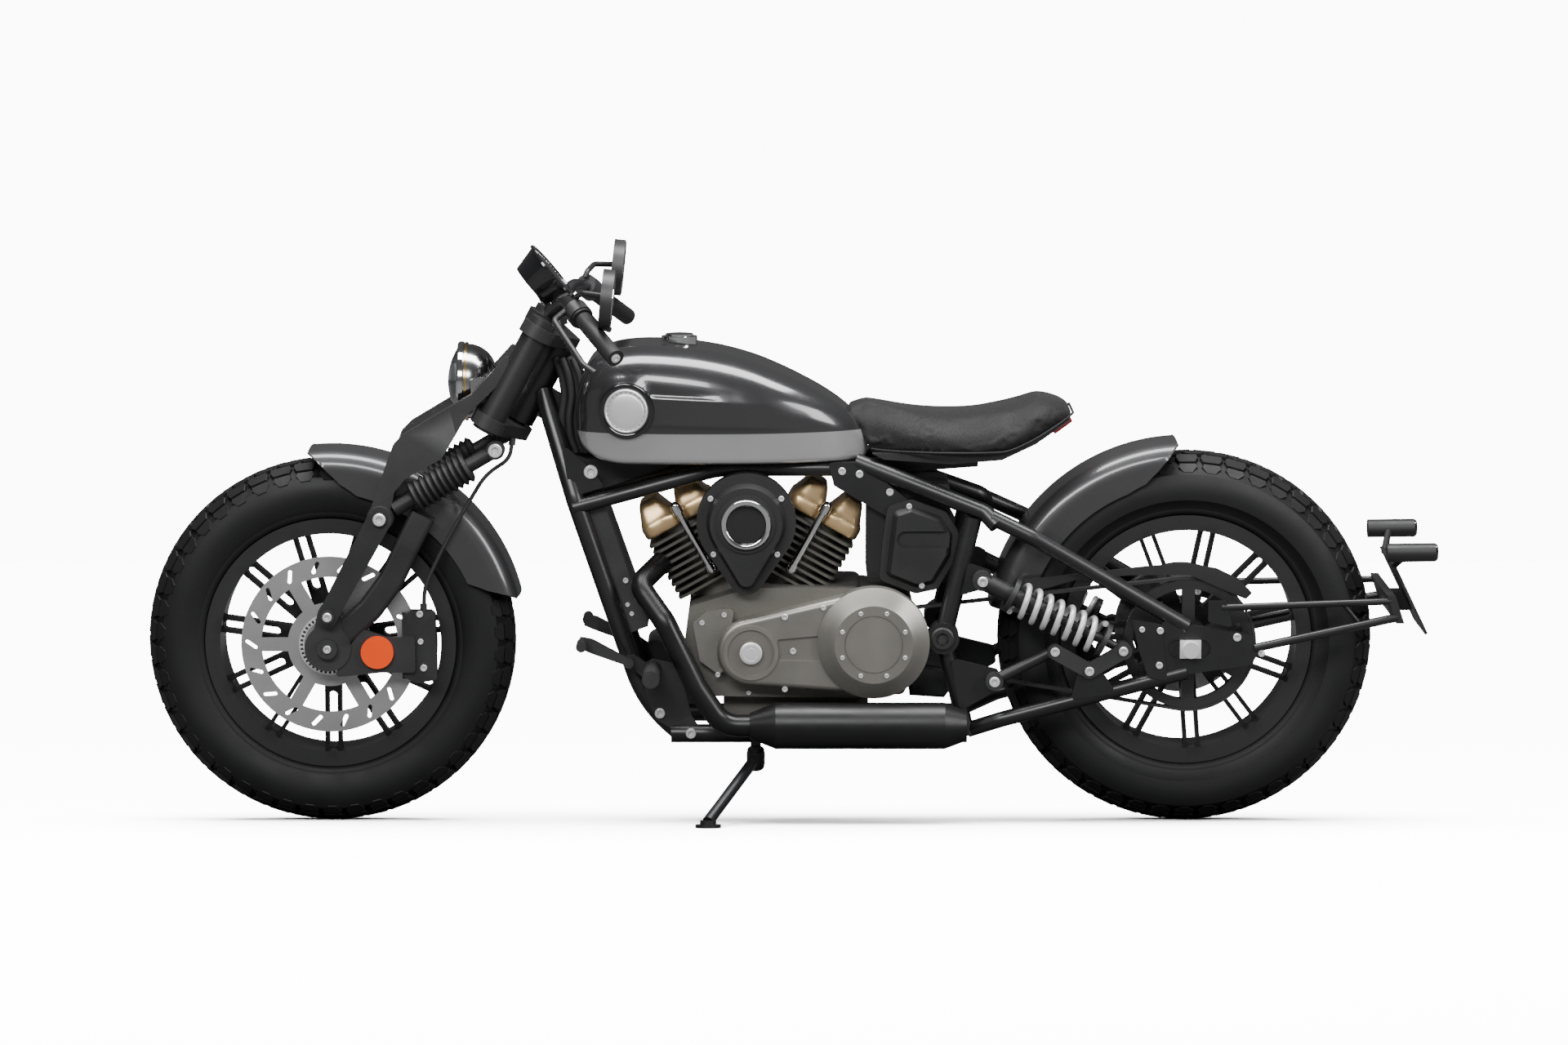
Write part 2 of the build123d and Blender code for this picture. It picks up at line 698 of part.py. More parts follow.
# Front fender, fork and controls
with BuildPart() as front_fender:
    with BuildSketch(radial(front_axle, 84)):
        with BuildLine():
            FilletPolyline(
                (front_fender_skirt_r, front_fender_half),
                (front_fender_r, front_fender_half),
                (front_fender_r, -front_fender_half),
                (front_fender_skirt_r, -front_fender_half),
                (front_fender_skirt_r, fender_wall - front_fender_half),
                (front_fender_r - fender_wall, fender_wall - front_fender_half),
                (front_fender_r - fender_wall, front_fender_half - fender_wall),
                (front_fender_skirt_r, front_fender_half - fender_wall),
                radius=[0, 20, 20, 0, 0, 17, 17, 0],
                close=True,
            )
        make_face()
    revolve(axis=Axis((front_axle[0], 0, front_axle[1]), (0, -1, 0)), revolution_arc=82)
    drum((578, 540), 84 - seat_gap, 84 - front_fender_half + 1, 9)
    mirror(about=Plane.XZ)

# Fork: yokes on the stem, tubes, forged arms, axle legs, links and dampers
yoke_top = head_top - clamp_gap - clamp_thickness
yoke_bottom = head_bottom + clamp_gap + clamp_thickness
with BuildPart() as fork_yokes:
    for down in (yoke_top + clamp_thickness, yoke_bottom):
        with BuildSketch(across_steering(down)) as yoke:
            Circle(stem_r + 15)
            with Locations((fork_offset, fork_half)):
                Circle(fork_tube_r + 8)
            make_hull()
        extrude(yoke.sketch, amount=clamp_thickness)
    tube_top = steering(yoke_top - 12, fork_offset, fork_half)
    tube_foot = steering(yoke_bottom + 6, fork_offset, fork_half)
    rod(tube_top, tube_foot, fork_tube_r)
    mirror(about=Plane.XZ)
    rod(steering(yoke_top + 2, 0), steering(yoke_bottom - 2, 0), stem_r)

arm_pivot = (647, 546)
axle_lug = fore(-2, 58)
damper_top = (449, 663)
with BuildPart() as fork_arms:
    front_edge = [(417, 838), (445, 807), (489, 759), (527, 737), (607, 689), (624, 672), (634, 645)]
    pivot_end = [(664, 560), (656, 540), (632, 548)]
    back_edge = [(622, 591), (603, 614), (541, 648), (516, 690), (497, 723), (435, 783)]
    plate(front_edge + pivot_end + back_edge, fork_half + blade_thickness / 2, blade_thickness, 5)
    drum(arm_pivot, fork_half + blade_thickness / 2, blade_thickness, 23)
    mirror(about=Plane.XZ)
    add(fork_yokes.part, mode=Mode.SUBTRACT)

damper_y = 108
with BuildPart() as front_dampers:
    lower = Vector(arm_pivot[0], damper_y, arm_pivot[1])
    upper = Vector(damper_top[0], damper_y, damper_top[1])
    along = (upper - lower).normalized()
    rod(lower + along * 28, upper - along * 8, 13)
    fold_pitch = (bellows_end - bellows_start) / bellows_folds
    with BuildSketch(Plane(origin=lower, x_dir=(0, 1, 0), z_dir=Vector(0, 1, 0).cross(along))) as bellows:
        with BuildLine():
            zigzag = [(0, bellows_start)]
            for number in range(bellows_folds):
                zigzag.append((bellows_r - 6, bellows_start + number * fold_pitch))
                zigzag.append((bellows_r, bellows_start + (number + 0.5) * fold_pitch))
            zigzag.append((bellows_r - 6, bellows_end))
            zigzag.append((0, bellows_end))
            Polyline(*zigzag, close=True)
        make_face()
    revolve(bellows.sketch, axis=Axis(lower, along))
    drum(damper_top, damper_y + 12, 24, 16)
    mirror(about=Plane.XZ)
    add(fork_arms.part, mode=Mode.SUBTRACT)
    add(fork_yokes.part, mode=Mode.SUBTRACT)

with BuildPart() as fork_legs:
    leg_y = (leg_outer + leg_inner) / 2
    points = [(575, leg_y, 549), (603, leg_y, 494), (631, leg_y, 435)]
    points += [fore(-73, 67, leg_y), fore(-2, 2, leg_y)]
    with BuildLine() as spine:
        FilletPolyline(*points, radius=60)
    with BuildSketch(Plane(origin=spine.line @ 0, x_dir=(0, 1, 0), z_dir=spine.line % 0)) as blank:
        RectangleRounded(leg_outer - leg_inner - 4, 44, 8)
    sweep(blank.sketch, path=spine.line)
    drum(front_axle, leg_outer, leg_outer - leg_inner, 40)
    with BuildSketch(side(leg_outer, axle_lug)) as lug:
        Circle(19)
        with Locations((front_axle[0] - axle_lug[0], front_axle[1] - axle_lug[1])):
            Circle(30)
        make_hull()
    extrude(lug.sketch, amount=leg_outer - leg_inner)
    mirror(about=Plane.XZ)
    add(front_dampers.part, mode=Mode.SUBTRACT)
    drum(front_axle, 120, 240, axle_r, mode=Mode.SUBTRACT)

with BuildPart() as fork_links:
    outer = fork_half + blade_thickness / 2 + seat_gap + link_thickness
    with BuildSketch(side(outer, arm_pivot)) as link:
        Circle(21)
        with Locations((axle_lug[0] - arm_pivot[0], axle_lug[1] - arm_pivot[1])):
            Circle(17)
        make_hull()
    extrude(link.sketch, amount=link_thickness)
    drum(arm_pivot, outer + 6, 8, 12)
    drum(axle_lug, outer + 6, 8, 12)
    drum(axle_lug, outer - link_thickness, outer - link_thickness - leg_outer - seat_gap, 14)
    mirror(about=Plane.XZ)

with BuildPart() as front_axle_shaft:
    drum(front_axle, leg_outer + 12, 2 * leg_outer + 24, axle_r)
    hoop(front_axle, leg_inner - seat_gap, leg_inner - seat_gap - disc_y - 3, 16, axle_r)
    hoop(front_axle, -60, leg_inner - 60 - seat_gap, 16, axle_r)
    hoop(front_axle, leg_outer + 12, 12 - seat_gap, 17, axle_r)
    hoop(front_axle, -leg_outer - seat_gap, 12 - seat_gap, 17, axle_r)

# Brake caliper straddling the front disc, with its bracket and the round reflector
with BuildPart() as brake_caliper:
    body = [fore(-127, 53), fore(-142, 63), fore(-184, 61), fore(-187, -57), fore(-150, -63), fore(-128, -51)]
    plate(body, 98, 26, 8)
    with BuildSketch(side(80, front_axle)) as inner_half:
        with Locations((-157, 0)):
            Rectangle(62, 116)
        Circle(rim_inner_r - 6, mode=Mode.INTERSECT)
        Circle(122, mode=Mode.SUBTRACT)
    extrude(inner_half.sketch, amount=38)
    slot_left = disc_y + caliper_gap
    drum(front_axle, slot_left, disc_thickness + 2 * caliper_gap, disc_r + caliper_gap, mode=Mode.SUBTRACT)
    lower_arm = [fore(-20, -19), fore(-12, -51), fore(-92, -43), fore(-150, -43)]
    upper_arm = [fore(-150, 19), fore(-100, 19), fore(-60, 33)]
    plate(lower_arm + upper_arm, leg_outer - 4, 10, 6)
    add(fork_legs.part, mode=Mode.SUBTRACT)

with BuildPart() as reflector:
    drum(fore(-85, -7), leg_outer + 4, 8 - seat_gap, 28)

# Brake hose from the caliper up behind the fork leg to its joint on the lower yoke
with BuildPart() as brake_hose:
    union = fore(-164, 62, 85)
    joint = steering(yoke_bottom, -6, 62)
    hose_points = [union, fore(-166, 104, 85), fore(-196, 168, 84), fore(-232, 232, 83)]
    hose_points += [fore(-272, 298, 82), Vector(*joint) + (4, 8, -34), joint]
    tube(hose_points, hose_r, bend_radii(hose_points))
    rod(union, fore(-164, 74, 85), hose_r + 2.5)
    rod(Vector(*joint) + (1, 2, -12), joint, hose_r + 2.5)
    add(brake_caliper.part, mode=Mode.SUBTRACT)
    add(fork_yokes.part, mode=Mode.SUBTRACT)

# Headlight on ears from the fork tubes, and the gauge
headlight_z = 769
dome_r = 109
with BuildPart() as headlight_shell:
    with BuildSketch(Plane.XZ):
        with BuildLine():
            Polyline((454, headlight_z), (454, headlight_z + 30))
            ThreePointArc((454, headlight_z + 30), (472, headlight_z + 55), (500, headlight_z + 65))
            Polyline(
                (500, headlight_z + 65),
                (510, headlight_z + headlight_r),
                (510, headlight_z),
                (454, headlight_z),
            )
        make_face()
    revolve(axis=Axis((0, 0, headlight_z), (1, 0, 0)))
    ear = [(420, 792), (492, 782), (492, 756), (432, 750)]
    plate(ear, 82, 18, 6)
    mirror(about=Plane.XZ)
    add(fork_yokes.part, mode=Mode.SUBTRACT)
    add(fork_arms.part, mode=Mode.SUBTRACT)

with BuildPart() as headlight_lens:
    with BuildSketch(Plane.XZ):
        with BuildLine():
            dome = CenterArc((536 - dome_r, headlight_z), dome_r, 0, 33)
            Polyline(
                dome @ 1,
                (510 + seat_gap, headlight_z + headlight_r - 3),
                (510 + seat_gap, headlight_z),
                (536, headlight_z),
            )
        make_face()
    revolve(axis=Axis((0, 0, headlight_z), (1, 0, 0)))

# Handlebar and risers, gauge, grips, levers and mirrors
bar_points = [(355, 0, 893), (352, 78, 896), (325, 150, 922), (306, 225, 914), (237, 343, 848)]
bar_end = Vector(*bar_points[-1])
grip_dir = (bar_end - Vector(*bar_points[-2])).normalized()
grip_start = bar_end - grip_dir * grip_length
with BuildPart() as handlebar:
    tube(bar_points, bar_r, [30, 50, 45])
    rod(steering(yoke_top, 14, 45), (355, 45, 906), 15)
    mirror(about=Plane.XZ)
    add(fork_yokes.part, mode=Mode.SUBTRACT)

with BuildPart() as gauge:
    gauge_back = (390, 0, 933.5)
    gauge_face = (356.5, 0, 961.5)
    cone(gauge_back, gauge_face, gauge_r - 8, gauge_r + 3)
    rod((384, 0, 942), (358, 0, 896), 10)
    add(handlebar.part, mode=Mode.SUBTRACT)

with BuildPart() as grips:
    rod(grip_start, bar_end + grip_dir * 4, grip_r)
    rod(grip_start, grip_start + grip_dir * 5, grip_r + 4)
    mirror(about=Plane.XZ)
    add(handlebar.part, mode=Mode.SUBTRACT)

with BuildPart() as bar_controls:
    perch = grip_start - grip_dir * 26
    rod(perch, grip_start - grip_dir * seat_gap, 21)
    tube([perch + (14, 4, 0), perch + (34, 40, -14), (290, 330, 834), (268, 352, 822)], 5.5, [14, 40])
    mirror(about=Plane.XZ)
    add(handlebar.part, mode=Mode.SUBTRACT)
    add(grips.part, mode=Mode.SUBTRACT)

with BuildPart() as mirrors:
    rod((261, 292, 941), (241, 292, 939), mirror_r)
    tube([(256, 292, 945), (292, 270, 948), perch + (-4, 4, 24), perch + (0, 2, 14)], 5, [16, 10])
    mirror(about=Plane.XZ)
    add(bar_controls.part, mode=Mode.SUBTRACT)
    add(handlebar.part, mode=Mode.SUBTRACT)
    add(grips.part, mode=Mode.SUBTRACT)

# Rear shocks with their springs and pull links
shock_front = Vector(-384, shock_y, 442)
shock_rear = Vector(-625, shock_y, 322)
shock_dir = (shock_rear - shock_front).normalized()
spring_start = 60
spring_length = 168
spring_turns = 7.5
with BuildPart() as rear_shocks:
    rod(shock_front, shock_front + shock_dir * (spring_start + 60), 16)
    rod(shock_front, shock_rear, 8)
    for end in (spring_start - 8, spring_start + spring_length):
        rod(shock_front + shock_dir * end, shock_front + shock_dir * (end + 8), spring_r - 1)
    drum((shock_front.X, shock_front.Z), shock_y + 12, shock_y + 12 - shock_inner, 17)
    drum((shock_rear.X, shock_rear.Z), link_outer, link_outer - shock_inner, 15)
    with BuildSketch(side(link_outer)) as rocker:
        with Locations(rod_eye, rocker_pivot):
            Circle(13)
        make_hull()
        with BuildSketch(side(link_outer)) as rear_leg:
            with Locations(rocker_pivot, (shock_rear.X, shock_rear.Z)):
                Circle(13)
            make_hull()
        add(rear_leg.sketch)
    extrude(rocker.sketch, amount=8)
    rod_y = link_outer - 19
    rod((rod_eye[0], rod_y, rod_eye[1]), (rod_foot[0], rod_y, rod_foot[1]), 10)
    drum(rod_eye, link_outer, link_outer - link_inner - 6, 13)
    drum(rod_foot, link_outer, link_outer - link_inner, 15)
    mirror(about=Plane.XZ)
    add(frame_upper_rails.part, mode=Mode.SUBTRACT)
    add(frame_pivot_struts.part, mode=Mode.SUBTRACT)
    add(swingarm.part, mode=Mode.SUBTRACT)

with BuildPart() as shock_springs:
    seat_clearance = spring_wire_r + seat_gap
    coil_length = spring_length - 2 * seat_clearance
    with BuildLine() as coil:
        Helix(
            pitch=coil_length / spring_turns,
            height=coil_length,
            radius=spring_r - spring_wire_r,
            center=shock_front + shock_dir * (spring_start + seat_clearance),
            direction=shock_dir,
        )
    with BuildSketch(Plane(origin=coil.line @ 0, z_dir=coil.line % 0)) as wire:
        Circle(spring_wire_r)
    sweep(wire.sketch, path=coil.line, is_frenet=True)
    mirror(about=Plane.XZ)

# Belt and its guard
with BuildPart() as drive_belt:
    reach = (sprocket_x - rear_axle[0], sprocket_z - rear_axle[1])
    with BuildSketch(side(belt_y + belt_width / 2 - 1, rear_axle)) as outer:
        Circle(pulley_r + belt_gap + belt_thickness)
        with Locations(reach):
            Circle(sprocket_r + belt_gap + belt_thickness)
        make_hull()
    extrude(outer.sketch, amount=belt_width - 2)
    with BuildSketch(side(belt_y + belt_width / 2, rear_axle)) as inner:
        Circle(pulley_r + belt_gap)
        with Locations(reach):
            Circle(sprocket_r + belt_gap)
        make_hull()
    extrude(inner.sketch, amount=belt_width, mode=Mode.SUBTRACT)

with BuildPart() as belt_guard:
    top_edge = [(-457, 438), (-580, 452), aft(67, 137), aft(-1, 141)]
    top_edge += [aft(-47, 133), aft(-84, 115), aft(-109, 90)]
    low_edge = [aft(-98, 79), aft(-1, 121), aft(95, 121), (-554, 440), (-457, 412)]
    plate(top_edge + low_edge, belt_y + 14, 4, 3)

# Tail arms, plate carrier, indicators and lamp
with BuildPart() as tail_arms:
    rod(aft(-53, 71, swing_y + 8), aft(-349, 79, 128), 6)
    rod(aft(-110, 1, swing_y + 8), aft(-356, 51, 128), 7.5)
    plate([aft(-30, 47), aft(-30, 83), aft(-60, 83), aft(-72, 37)], swing_y + 12, 8, 4)
    rod(aft(-262, 76, 131), aft(-292, 40, 130), 4)
    mirror(about=Plane.XZ)
    add(swingarm.part, mode=Mode.SUBTRACT)

plate_middle = Vector(*aft(-383.5, 80, 0))
plate_normal = Vector(-0.901, 0, 0.434)
with BuildPart() as plate_carrier:
    plate([aft(-338, 89), aft(-352, 89), aft(-368, 41), aft(-354, 41)], 134, 134)
    with BuildSketch(Plane(origin=plate_middle, x_dir=(0, 1, 0), z_dir=plate_normal)) as holder:
        RectangleRounded(170, 145, 8)
        with Locations((-plate_bolt_r, 0), (plate_bolt_r, 0)):
            Circle(plate_hole_r, mode=Mode.SUBTRACT)
    extrude(holder.sketch, amount=-plate_thickness)
    plate([aft(-344, 79), aft(-377, 79), aft(-393, 47), aft(-358, 47)], 24, 24)
    rod(aft(-356, 135, 78), aft(-372, 167, 150), 6)
    rod(aft(-334, 166, 150), aft(-416, 167, 150), 16)
    mirror(about=Plane.XZ)
    add(tail_arms.part, mode=Mode.SUBTRACT)

with BuildPart() as tail_lamp:
    plate([(-503, 692), (-533, 713), (-541, 705), (-511, 683)], 50, 100)
    add(seat_pan.part, mode=Mode.SUBTRACT)
    add(seat_pad.part, mode=Mode.SUBTRACT)

# Foot controls
with BuildPart() as foot_controls:
    hanger = [(186, 301), (138, 290), (115, 202), (96, 171), (115, 159), (176, 195), (196, 247)]
    plate(hanger, lower_rail_y + 6, 10, 6)
    drum((182, 284), 226, 118, 15)
    plate([(226, 306), (216, 288), (284, 312), (308, 322), (306, 342), (284, 338)], 128, 8, 3)
    drum((302, 331), 172, 44, 9)
    drum((222, 296), 128, 22, 9)
    plate([(236, 304), (214, 308), (168, 276), (180, 250)], lower_rail_y + 6, 10, 3)
    mirror(about=Plane.XZ)
    add(frame_down_tubes.part, mode=Mode.SUBTRACT)
    add(frame_lower_rails.part, mode=Mode.SUBTRACT)

# Side stand, drawn where the parked bike's floor is
lean = radians(lean_angle)


def upright(x, y, z):
    # A point or direction of the parked bike, turned back into the upright drawing
    return Vector(x, y * cos(lean) - z * sin(lean), y * sin(lean) + z * cos(lean))


stand_pivot = Vector(stand_x, stand_y, stand_z)
pivot_height = lift - stand_y * sin(lean) + stand_z * cos(lean)
leg_drop = pivot_height - foot_thickness - stand_rod_r / 2
leg_out = (stand_length**2 - leg_drop**2 - stand_forward**2) ** 0.5
leg_dir = upright(stand_forward, leg_out, -leg_drop) / stand_length
fold_axis = upright(0, leg_drop, leg_out).normalized()
foot = stand_pivot + leg_dir * stand_length
with BuildPart() as side_stand:
    rod(stand_pivot + leg_dir * 12, foot, stand_rod_r)
    rod(stand_pivot - fold_axis * 11, stand_pivot + fold_axis * 11, 16)
    floor_normal = upright(0, 0, 1)
    pad_base = foot - floor_normal * (foot_thickness + stand_rod_r / 2)
    with BuildSketch(Plane(origin=pad_base, x_dir=(1, 0, 0), z_dir=floor_normal)) as pad:
        Circle(foot_r)
    extrude(pad.sketch, amount=foot_thickness)
    rod(pad_base + floor_normal * 2, foot + floor_normal * 2, stand_rod_r + 4)
    rod(stand_pivot - fold_axis * 20, stand_pivot + fold_axis * 20, 6 + running_gap, mode=Mode.SUBTRACT)

# The stand's clevis hangs from the left lower rail
with BuildPart() as stand_bracket:
    for end in (1, -1):
        near = stand_pivot + fold_axis * end * 11.5
        rod(near, near + fold_axis * end * 6, 15)
    rod(stand_pivot - fold_axis * 17, stand_pivot + fold_axis * 17, 6)
    elbow = stand_pivot + fold_axis * 30
    rod(stand_pivot + fold_axis * 12, elbow, 9)
    rod(elbow + (0, 4, 0), (stand_x, lower_rail_y, 168), 9)
    add(frame_lower_rails.part, mode=Mode.SUBTRACT)

# Written with the box of the whole bike centred on the origin
os.makedirs("parts", exist_ok=True)
pieces = {
    "front_tyre": front_tyre,
    "front_rim": front_rim,
    "front_disc": front_disc,
    "rear_tyre": rear_tyre,
    "rear_rim": rear_rim,
    "rear_pulley": rear_pulley,
    "rear_disc": rear_disc,
    "frame_head": frame_head,
    "frame_down_tubes": frame_down_tubes,
    "frame_upper_rails": frame_upper_rails,
    "frame_lower_rails": frame_lower_rails,
    "frame_pivot_struts": frame_pivot_struts,
    "crankcase": crankcase,
    "cylinders": cylinders,
    "head_covers": head_covers,
    "pushrod_tubes": pushrod_tubes,
    "air_cleaner": air_cleaner,
    "engine_covers": engine_covers,
    "exhaust": exhaust,
    "radiator": radiator,
    "fuel_tank": fuel_tank,
    "fuel_cap": fuel_cap,
    "seat_pan": seat_pan,
    "seat_pad": seat_pad,
    "side_covers": side_covers,
    "swingarm": swingarm,
    "rear_axle_shaft": rear_axle_shaft,
    "rear_caliper": rear_caliper,
    "rear_shocks": rear_shocks,
    "shock_springs": shock_springs,
    "rear_fender": rear_fender,
    "drive_belt": drive_belt,
    "belt_guard": belt_guard,
    "tail_arms": tail_arms,
    "plate_carrier": plate_carrier,
    "tail_lamp": tail_lamp,
    "fork_yokes": fork_yokes,
    "fork_arms": fork_arms,
    "front_dampers": front_dampers,
    "fork_legs": fork_legs,
    "fork_links": fork_links,
    "front_axle_shaft": front_axle_shaft,
    "brake_caliper": brake_caliper,
    "brake_hose": brake_hose,
    "reflector": reflector,
    "headlight_shell": headlight_shell,
    "headlight_lens": headlight_lens,
    "gauge": gauge,
    "handlebar": handlebar,
    "grips": grips,
    "bar_controls": bar_controls,
    "mirrors": mirrors,
    "front_fender": front_fender,
    "foot_controls": foot_controls,
    "stand_bracket": stand_bracket,
    "side_stand": side_stand,
}
boxes = [piece.part.moved(stance).bounding_box() for piece in pieces.values()]
middle_x = (min(box.min.X for box in boxes) + max(box.max.X for box in boxes)) / 2
middle_y = (min(box.min.Y for box in boxes) + max(box.max.Y for box in boxes)) / 2
centring = Location((-middle_x, -middle_y, 0))
print("placement", -middle_x, -middle_y, lift)
print("stand_pivot", *stand_pivot)
print("fold_axis", *fold_axis)
print("fold_angle", degrees(acos(-stand_forward / stand_length)))
print("foot_base", *pad_base)
print("plate_middle", *plate_middle)
print("plate_normal", *plate_normal)
print("hose_bends", *(round(radius) for radius in bend_radii(hose_points)))
for label, piece in pieces.items():
    finish(piece, label)
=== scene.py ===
import json
from math import asin, atan2, cos, degrees, pi, radians, sin

import bmesh
import bpy
from mathutils import Matrix, Vector

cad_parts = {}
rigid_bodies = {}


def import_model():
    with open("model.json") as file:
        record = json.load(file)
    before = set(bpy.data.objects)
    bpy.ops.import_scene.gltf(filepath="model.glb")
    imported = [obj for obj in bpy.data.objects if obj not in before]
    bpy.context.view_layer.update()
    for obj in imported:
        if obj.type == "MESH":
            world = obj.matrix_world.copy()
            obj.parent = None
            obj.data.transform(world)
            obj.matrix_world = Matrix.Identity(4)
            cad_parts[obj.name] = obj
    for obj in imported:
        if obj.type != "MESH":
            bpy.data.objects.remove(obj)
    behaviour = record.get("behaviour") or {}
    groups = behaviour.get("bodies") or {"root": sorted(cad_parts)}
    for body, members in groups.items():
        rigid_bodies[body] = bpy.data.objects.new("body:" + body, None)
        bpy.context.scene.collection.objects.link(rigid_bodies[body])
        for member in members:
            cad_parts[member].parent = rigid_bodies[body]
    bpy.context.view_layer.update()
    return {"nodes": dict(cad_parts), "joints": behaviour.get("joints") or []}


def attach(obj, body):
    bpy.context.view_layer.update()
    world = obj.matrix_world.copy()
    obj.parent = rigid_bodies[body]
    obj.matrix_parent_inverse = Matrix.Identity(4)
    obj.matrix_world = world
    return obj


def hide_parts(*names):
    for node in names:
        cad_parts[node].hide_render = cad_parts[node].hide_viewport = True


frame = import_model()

# Bobber motorcycle. The pieces are drawn in upright millimetres, as in the CAD:
# x forward of the middle of the wheelbase, y to the left, z above the floor.
# toWorld leans them onto the side stand, in metres.
joints = {joint["name"]: joint for joint in frame["joints"]}
rearSpin = joints["rear_wheel_spin"]
lean = atan2(-rearSpin["axis"][2], rearSpin["axis"][1])
frontAxle = Vector((740, 0, 319))
rearAxle = Vector((-740, 0, 325))
stance = Matrix.Translation(Vector(rearSpin["pos_m"])) @ Matrix.Rotation(-lean, 4, "X")
toWorld = stance @ Matrix.Scale(0.001, 4) @ Matrix.Translation(-rearAxle)
fromWorld = toWorld.inverted()
shown = bpy.context.scene.collection.objects
print("frame loaded, lean", round(degrees(lean), 2))


# Camera: square on to the left side with a long lens
shot = {"width": 2.707, "middle": (0.004, 0.518), "distance": 9.0, "sensor": 36.0}
cameraData = bpy.data.cameras.new("sideCamera")
cameraData.sensor_width = shot["sensor"]
cameraData.lens = shot["sensor"] * shot["distance"] / shot["width"]
camera = bpy.data.objects.new("sideCamera", cameraData)
camera.location = (shot["middle"][0], shot["distance"], shot["middle"][1])
camera.rotation_euler = (pi / 2, 0, pi)
shown.link(camera)
bpy.context.scene.camera = camera


# Mesh helpers
def addPiece(name, bm, material, body, smoothAngle=35):
    mesh = bpy.data.meshes.new(name)
    bmesh.ops.recalc_face_normals(bm, faces=bm.faces)
    bm.to_mesh(mesh)
    bm.free()
    mesh.transform(toWorld)
    mesh.materials.append(material)
    mesh.shade_smooth()
    mesh.set_sharp_from_angle(angle=radians(smoothAngle))
    piece = bpy.data.objects.new(name, mesh)
    shown.link(piece)
    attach(piece, body)
    return piece


def joinRings(bm, rings, closeEnds=False, capEnds=False):
    # Skins a list of closed point rings; returns the rings of vertices
    rows = [[bm.verts.new(point) for point in ring] for ring in rings]
    count = len(rows[0])
    pairs = list(zip(rows, rows[1:]))
    if closeEnds:
        pairs.append((rows[-1], rows[0]))
    for near, far in pairs:
        for i in range(count):
            j = (i + 1) % count
            bm.faces.new((near[i], near[j], far[j], far[i]))
    if capEnds:
        bm.faces.new(rows[0])
        bm.faces.new(rows[-1])
    return rows


def turnProfile(bm, centre, axis, profile, steps=48):
    # Revolves (distance along the axis, radius) points; a zero radius ends in a cap
    axis = Vector(axis).normalized()
    spare = Vector((0, 0, 1)) if abs(axis.z) < 0.9 else Vector((1, 0, 0))
    across = axis.cross(spare).normalized()
    other = axis.cross(across)
    centre = Vector(centre)
    last = None
    for along, radius in profile:
        middle = centre + axis * along
        if radius == 0:
            ring = [bm.verts.new(middle)] * steps
        else:
            angles = [2 * pi * i / steps for i in range(steps)]
            ring = [bm.verts.new(middle + (across * cos(a) + other * sin(a)) * radius) for a in angles]
        if last:
            for i in range(steps):
                j = (i + 1) % steps
                corners = []
                for vertex in (last[i], last[j], ring[j], ring[i]):
                    if vertex not in corners:
                        corners.append(vertex)
                if len(corners) > 2:
                    bm.faces.new(corners)
        last = ring


# Shared effects, as node groups
def newGroup(name, inputs, outputs):
    # inputs hold label, kind and value, outputs label and kind
    group = bpy.data.node_groups.new(name, "ShaderNodeTree")
    for label, kind, value in inputs:
        socket = group.interface.new_socket(name=label, in_out="INPUT", socket_type=kind)
        socket.default_value = value
    for label, kind in outputs:
        group.interface.new_socket(name=label, in_out="OUTPUT", socket_type=kind)
    nodes = group.nodes
    return group, nodes.new("NodeGroupInput"), nodes.new("NodeGroupOutput")


def wire(tree, rows):
    # Links a tree by rows of (node, its output, next node, its input)
    for start, output, end, entry in rows:
        tree.links.new(start.outputs[output], end.inputs[entry])


def addShared(nodes, group, values):
    # Places a shared group in a material with its own values
    node = nodes.new("ShaderNodeGroup")
    node.node_tree = group
    for label, value in values.items():
        node.inputs[label].default_value = value
    return node


def addMix(nodes):
    mix = nodes.new("ShaderNodeMix")
    mix.data_type = "RGBA"
    return mix


def buildGrain():
    # Fine grain: a roughness that varies and a height for a bump
    inputs = [
        ("Scale", "NodeSocketFloat", 400.0),
        ("Low", "NodeSocketFloat", 0.3),
        ("High", "NodeSocketFloat", 0.45),
    ]
    outputs = [("Roughness", "NodeSocketFloat"), ("Height", "NodeSocketFloat")]
    group, given, result = newGroup("fineGrain", inputs, outputs)
    place = group.nodes.new("ShaderNodeTexCoord")
    fine = group.nodes.new("ShaderNodeTexNoise")
    fine.inputs["Detail"].default_value = 4
    broad = group.nodes.new("ShaderNodeTexNoise")
    broad.inputs["Scale"].default_value = 14
    span = group.nodes.new("ShaderNodeMapRange")
    span.inputs["From Min"].default_value = 0.3
    span.inputs["From Max"].default_value = 0.7
    wire(group, [
        (place, "Object", fine, "Vector"),
        (place, "Object", broad, "Vector"),
        (given, "Scale", fine, "Scale"),
        (broad, "Fac", span, "Value"),
        (given, "Low", span, "To Min"),
        (given, "High", span, "To Max"),
        (span, "Result", result, "Roughness"),
        (fine, "Fac", result, "Height"),
    ])
    return group


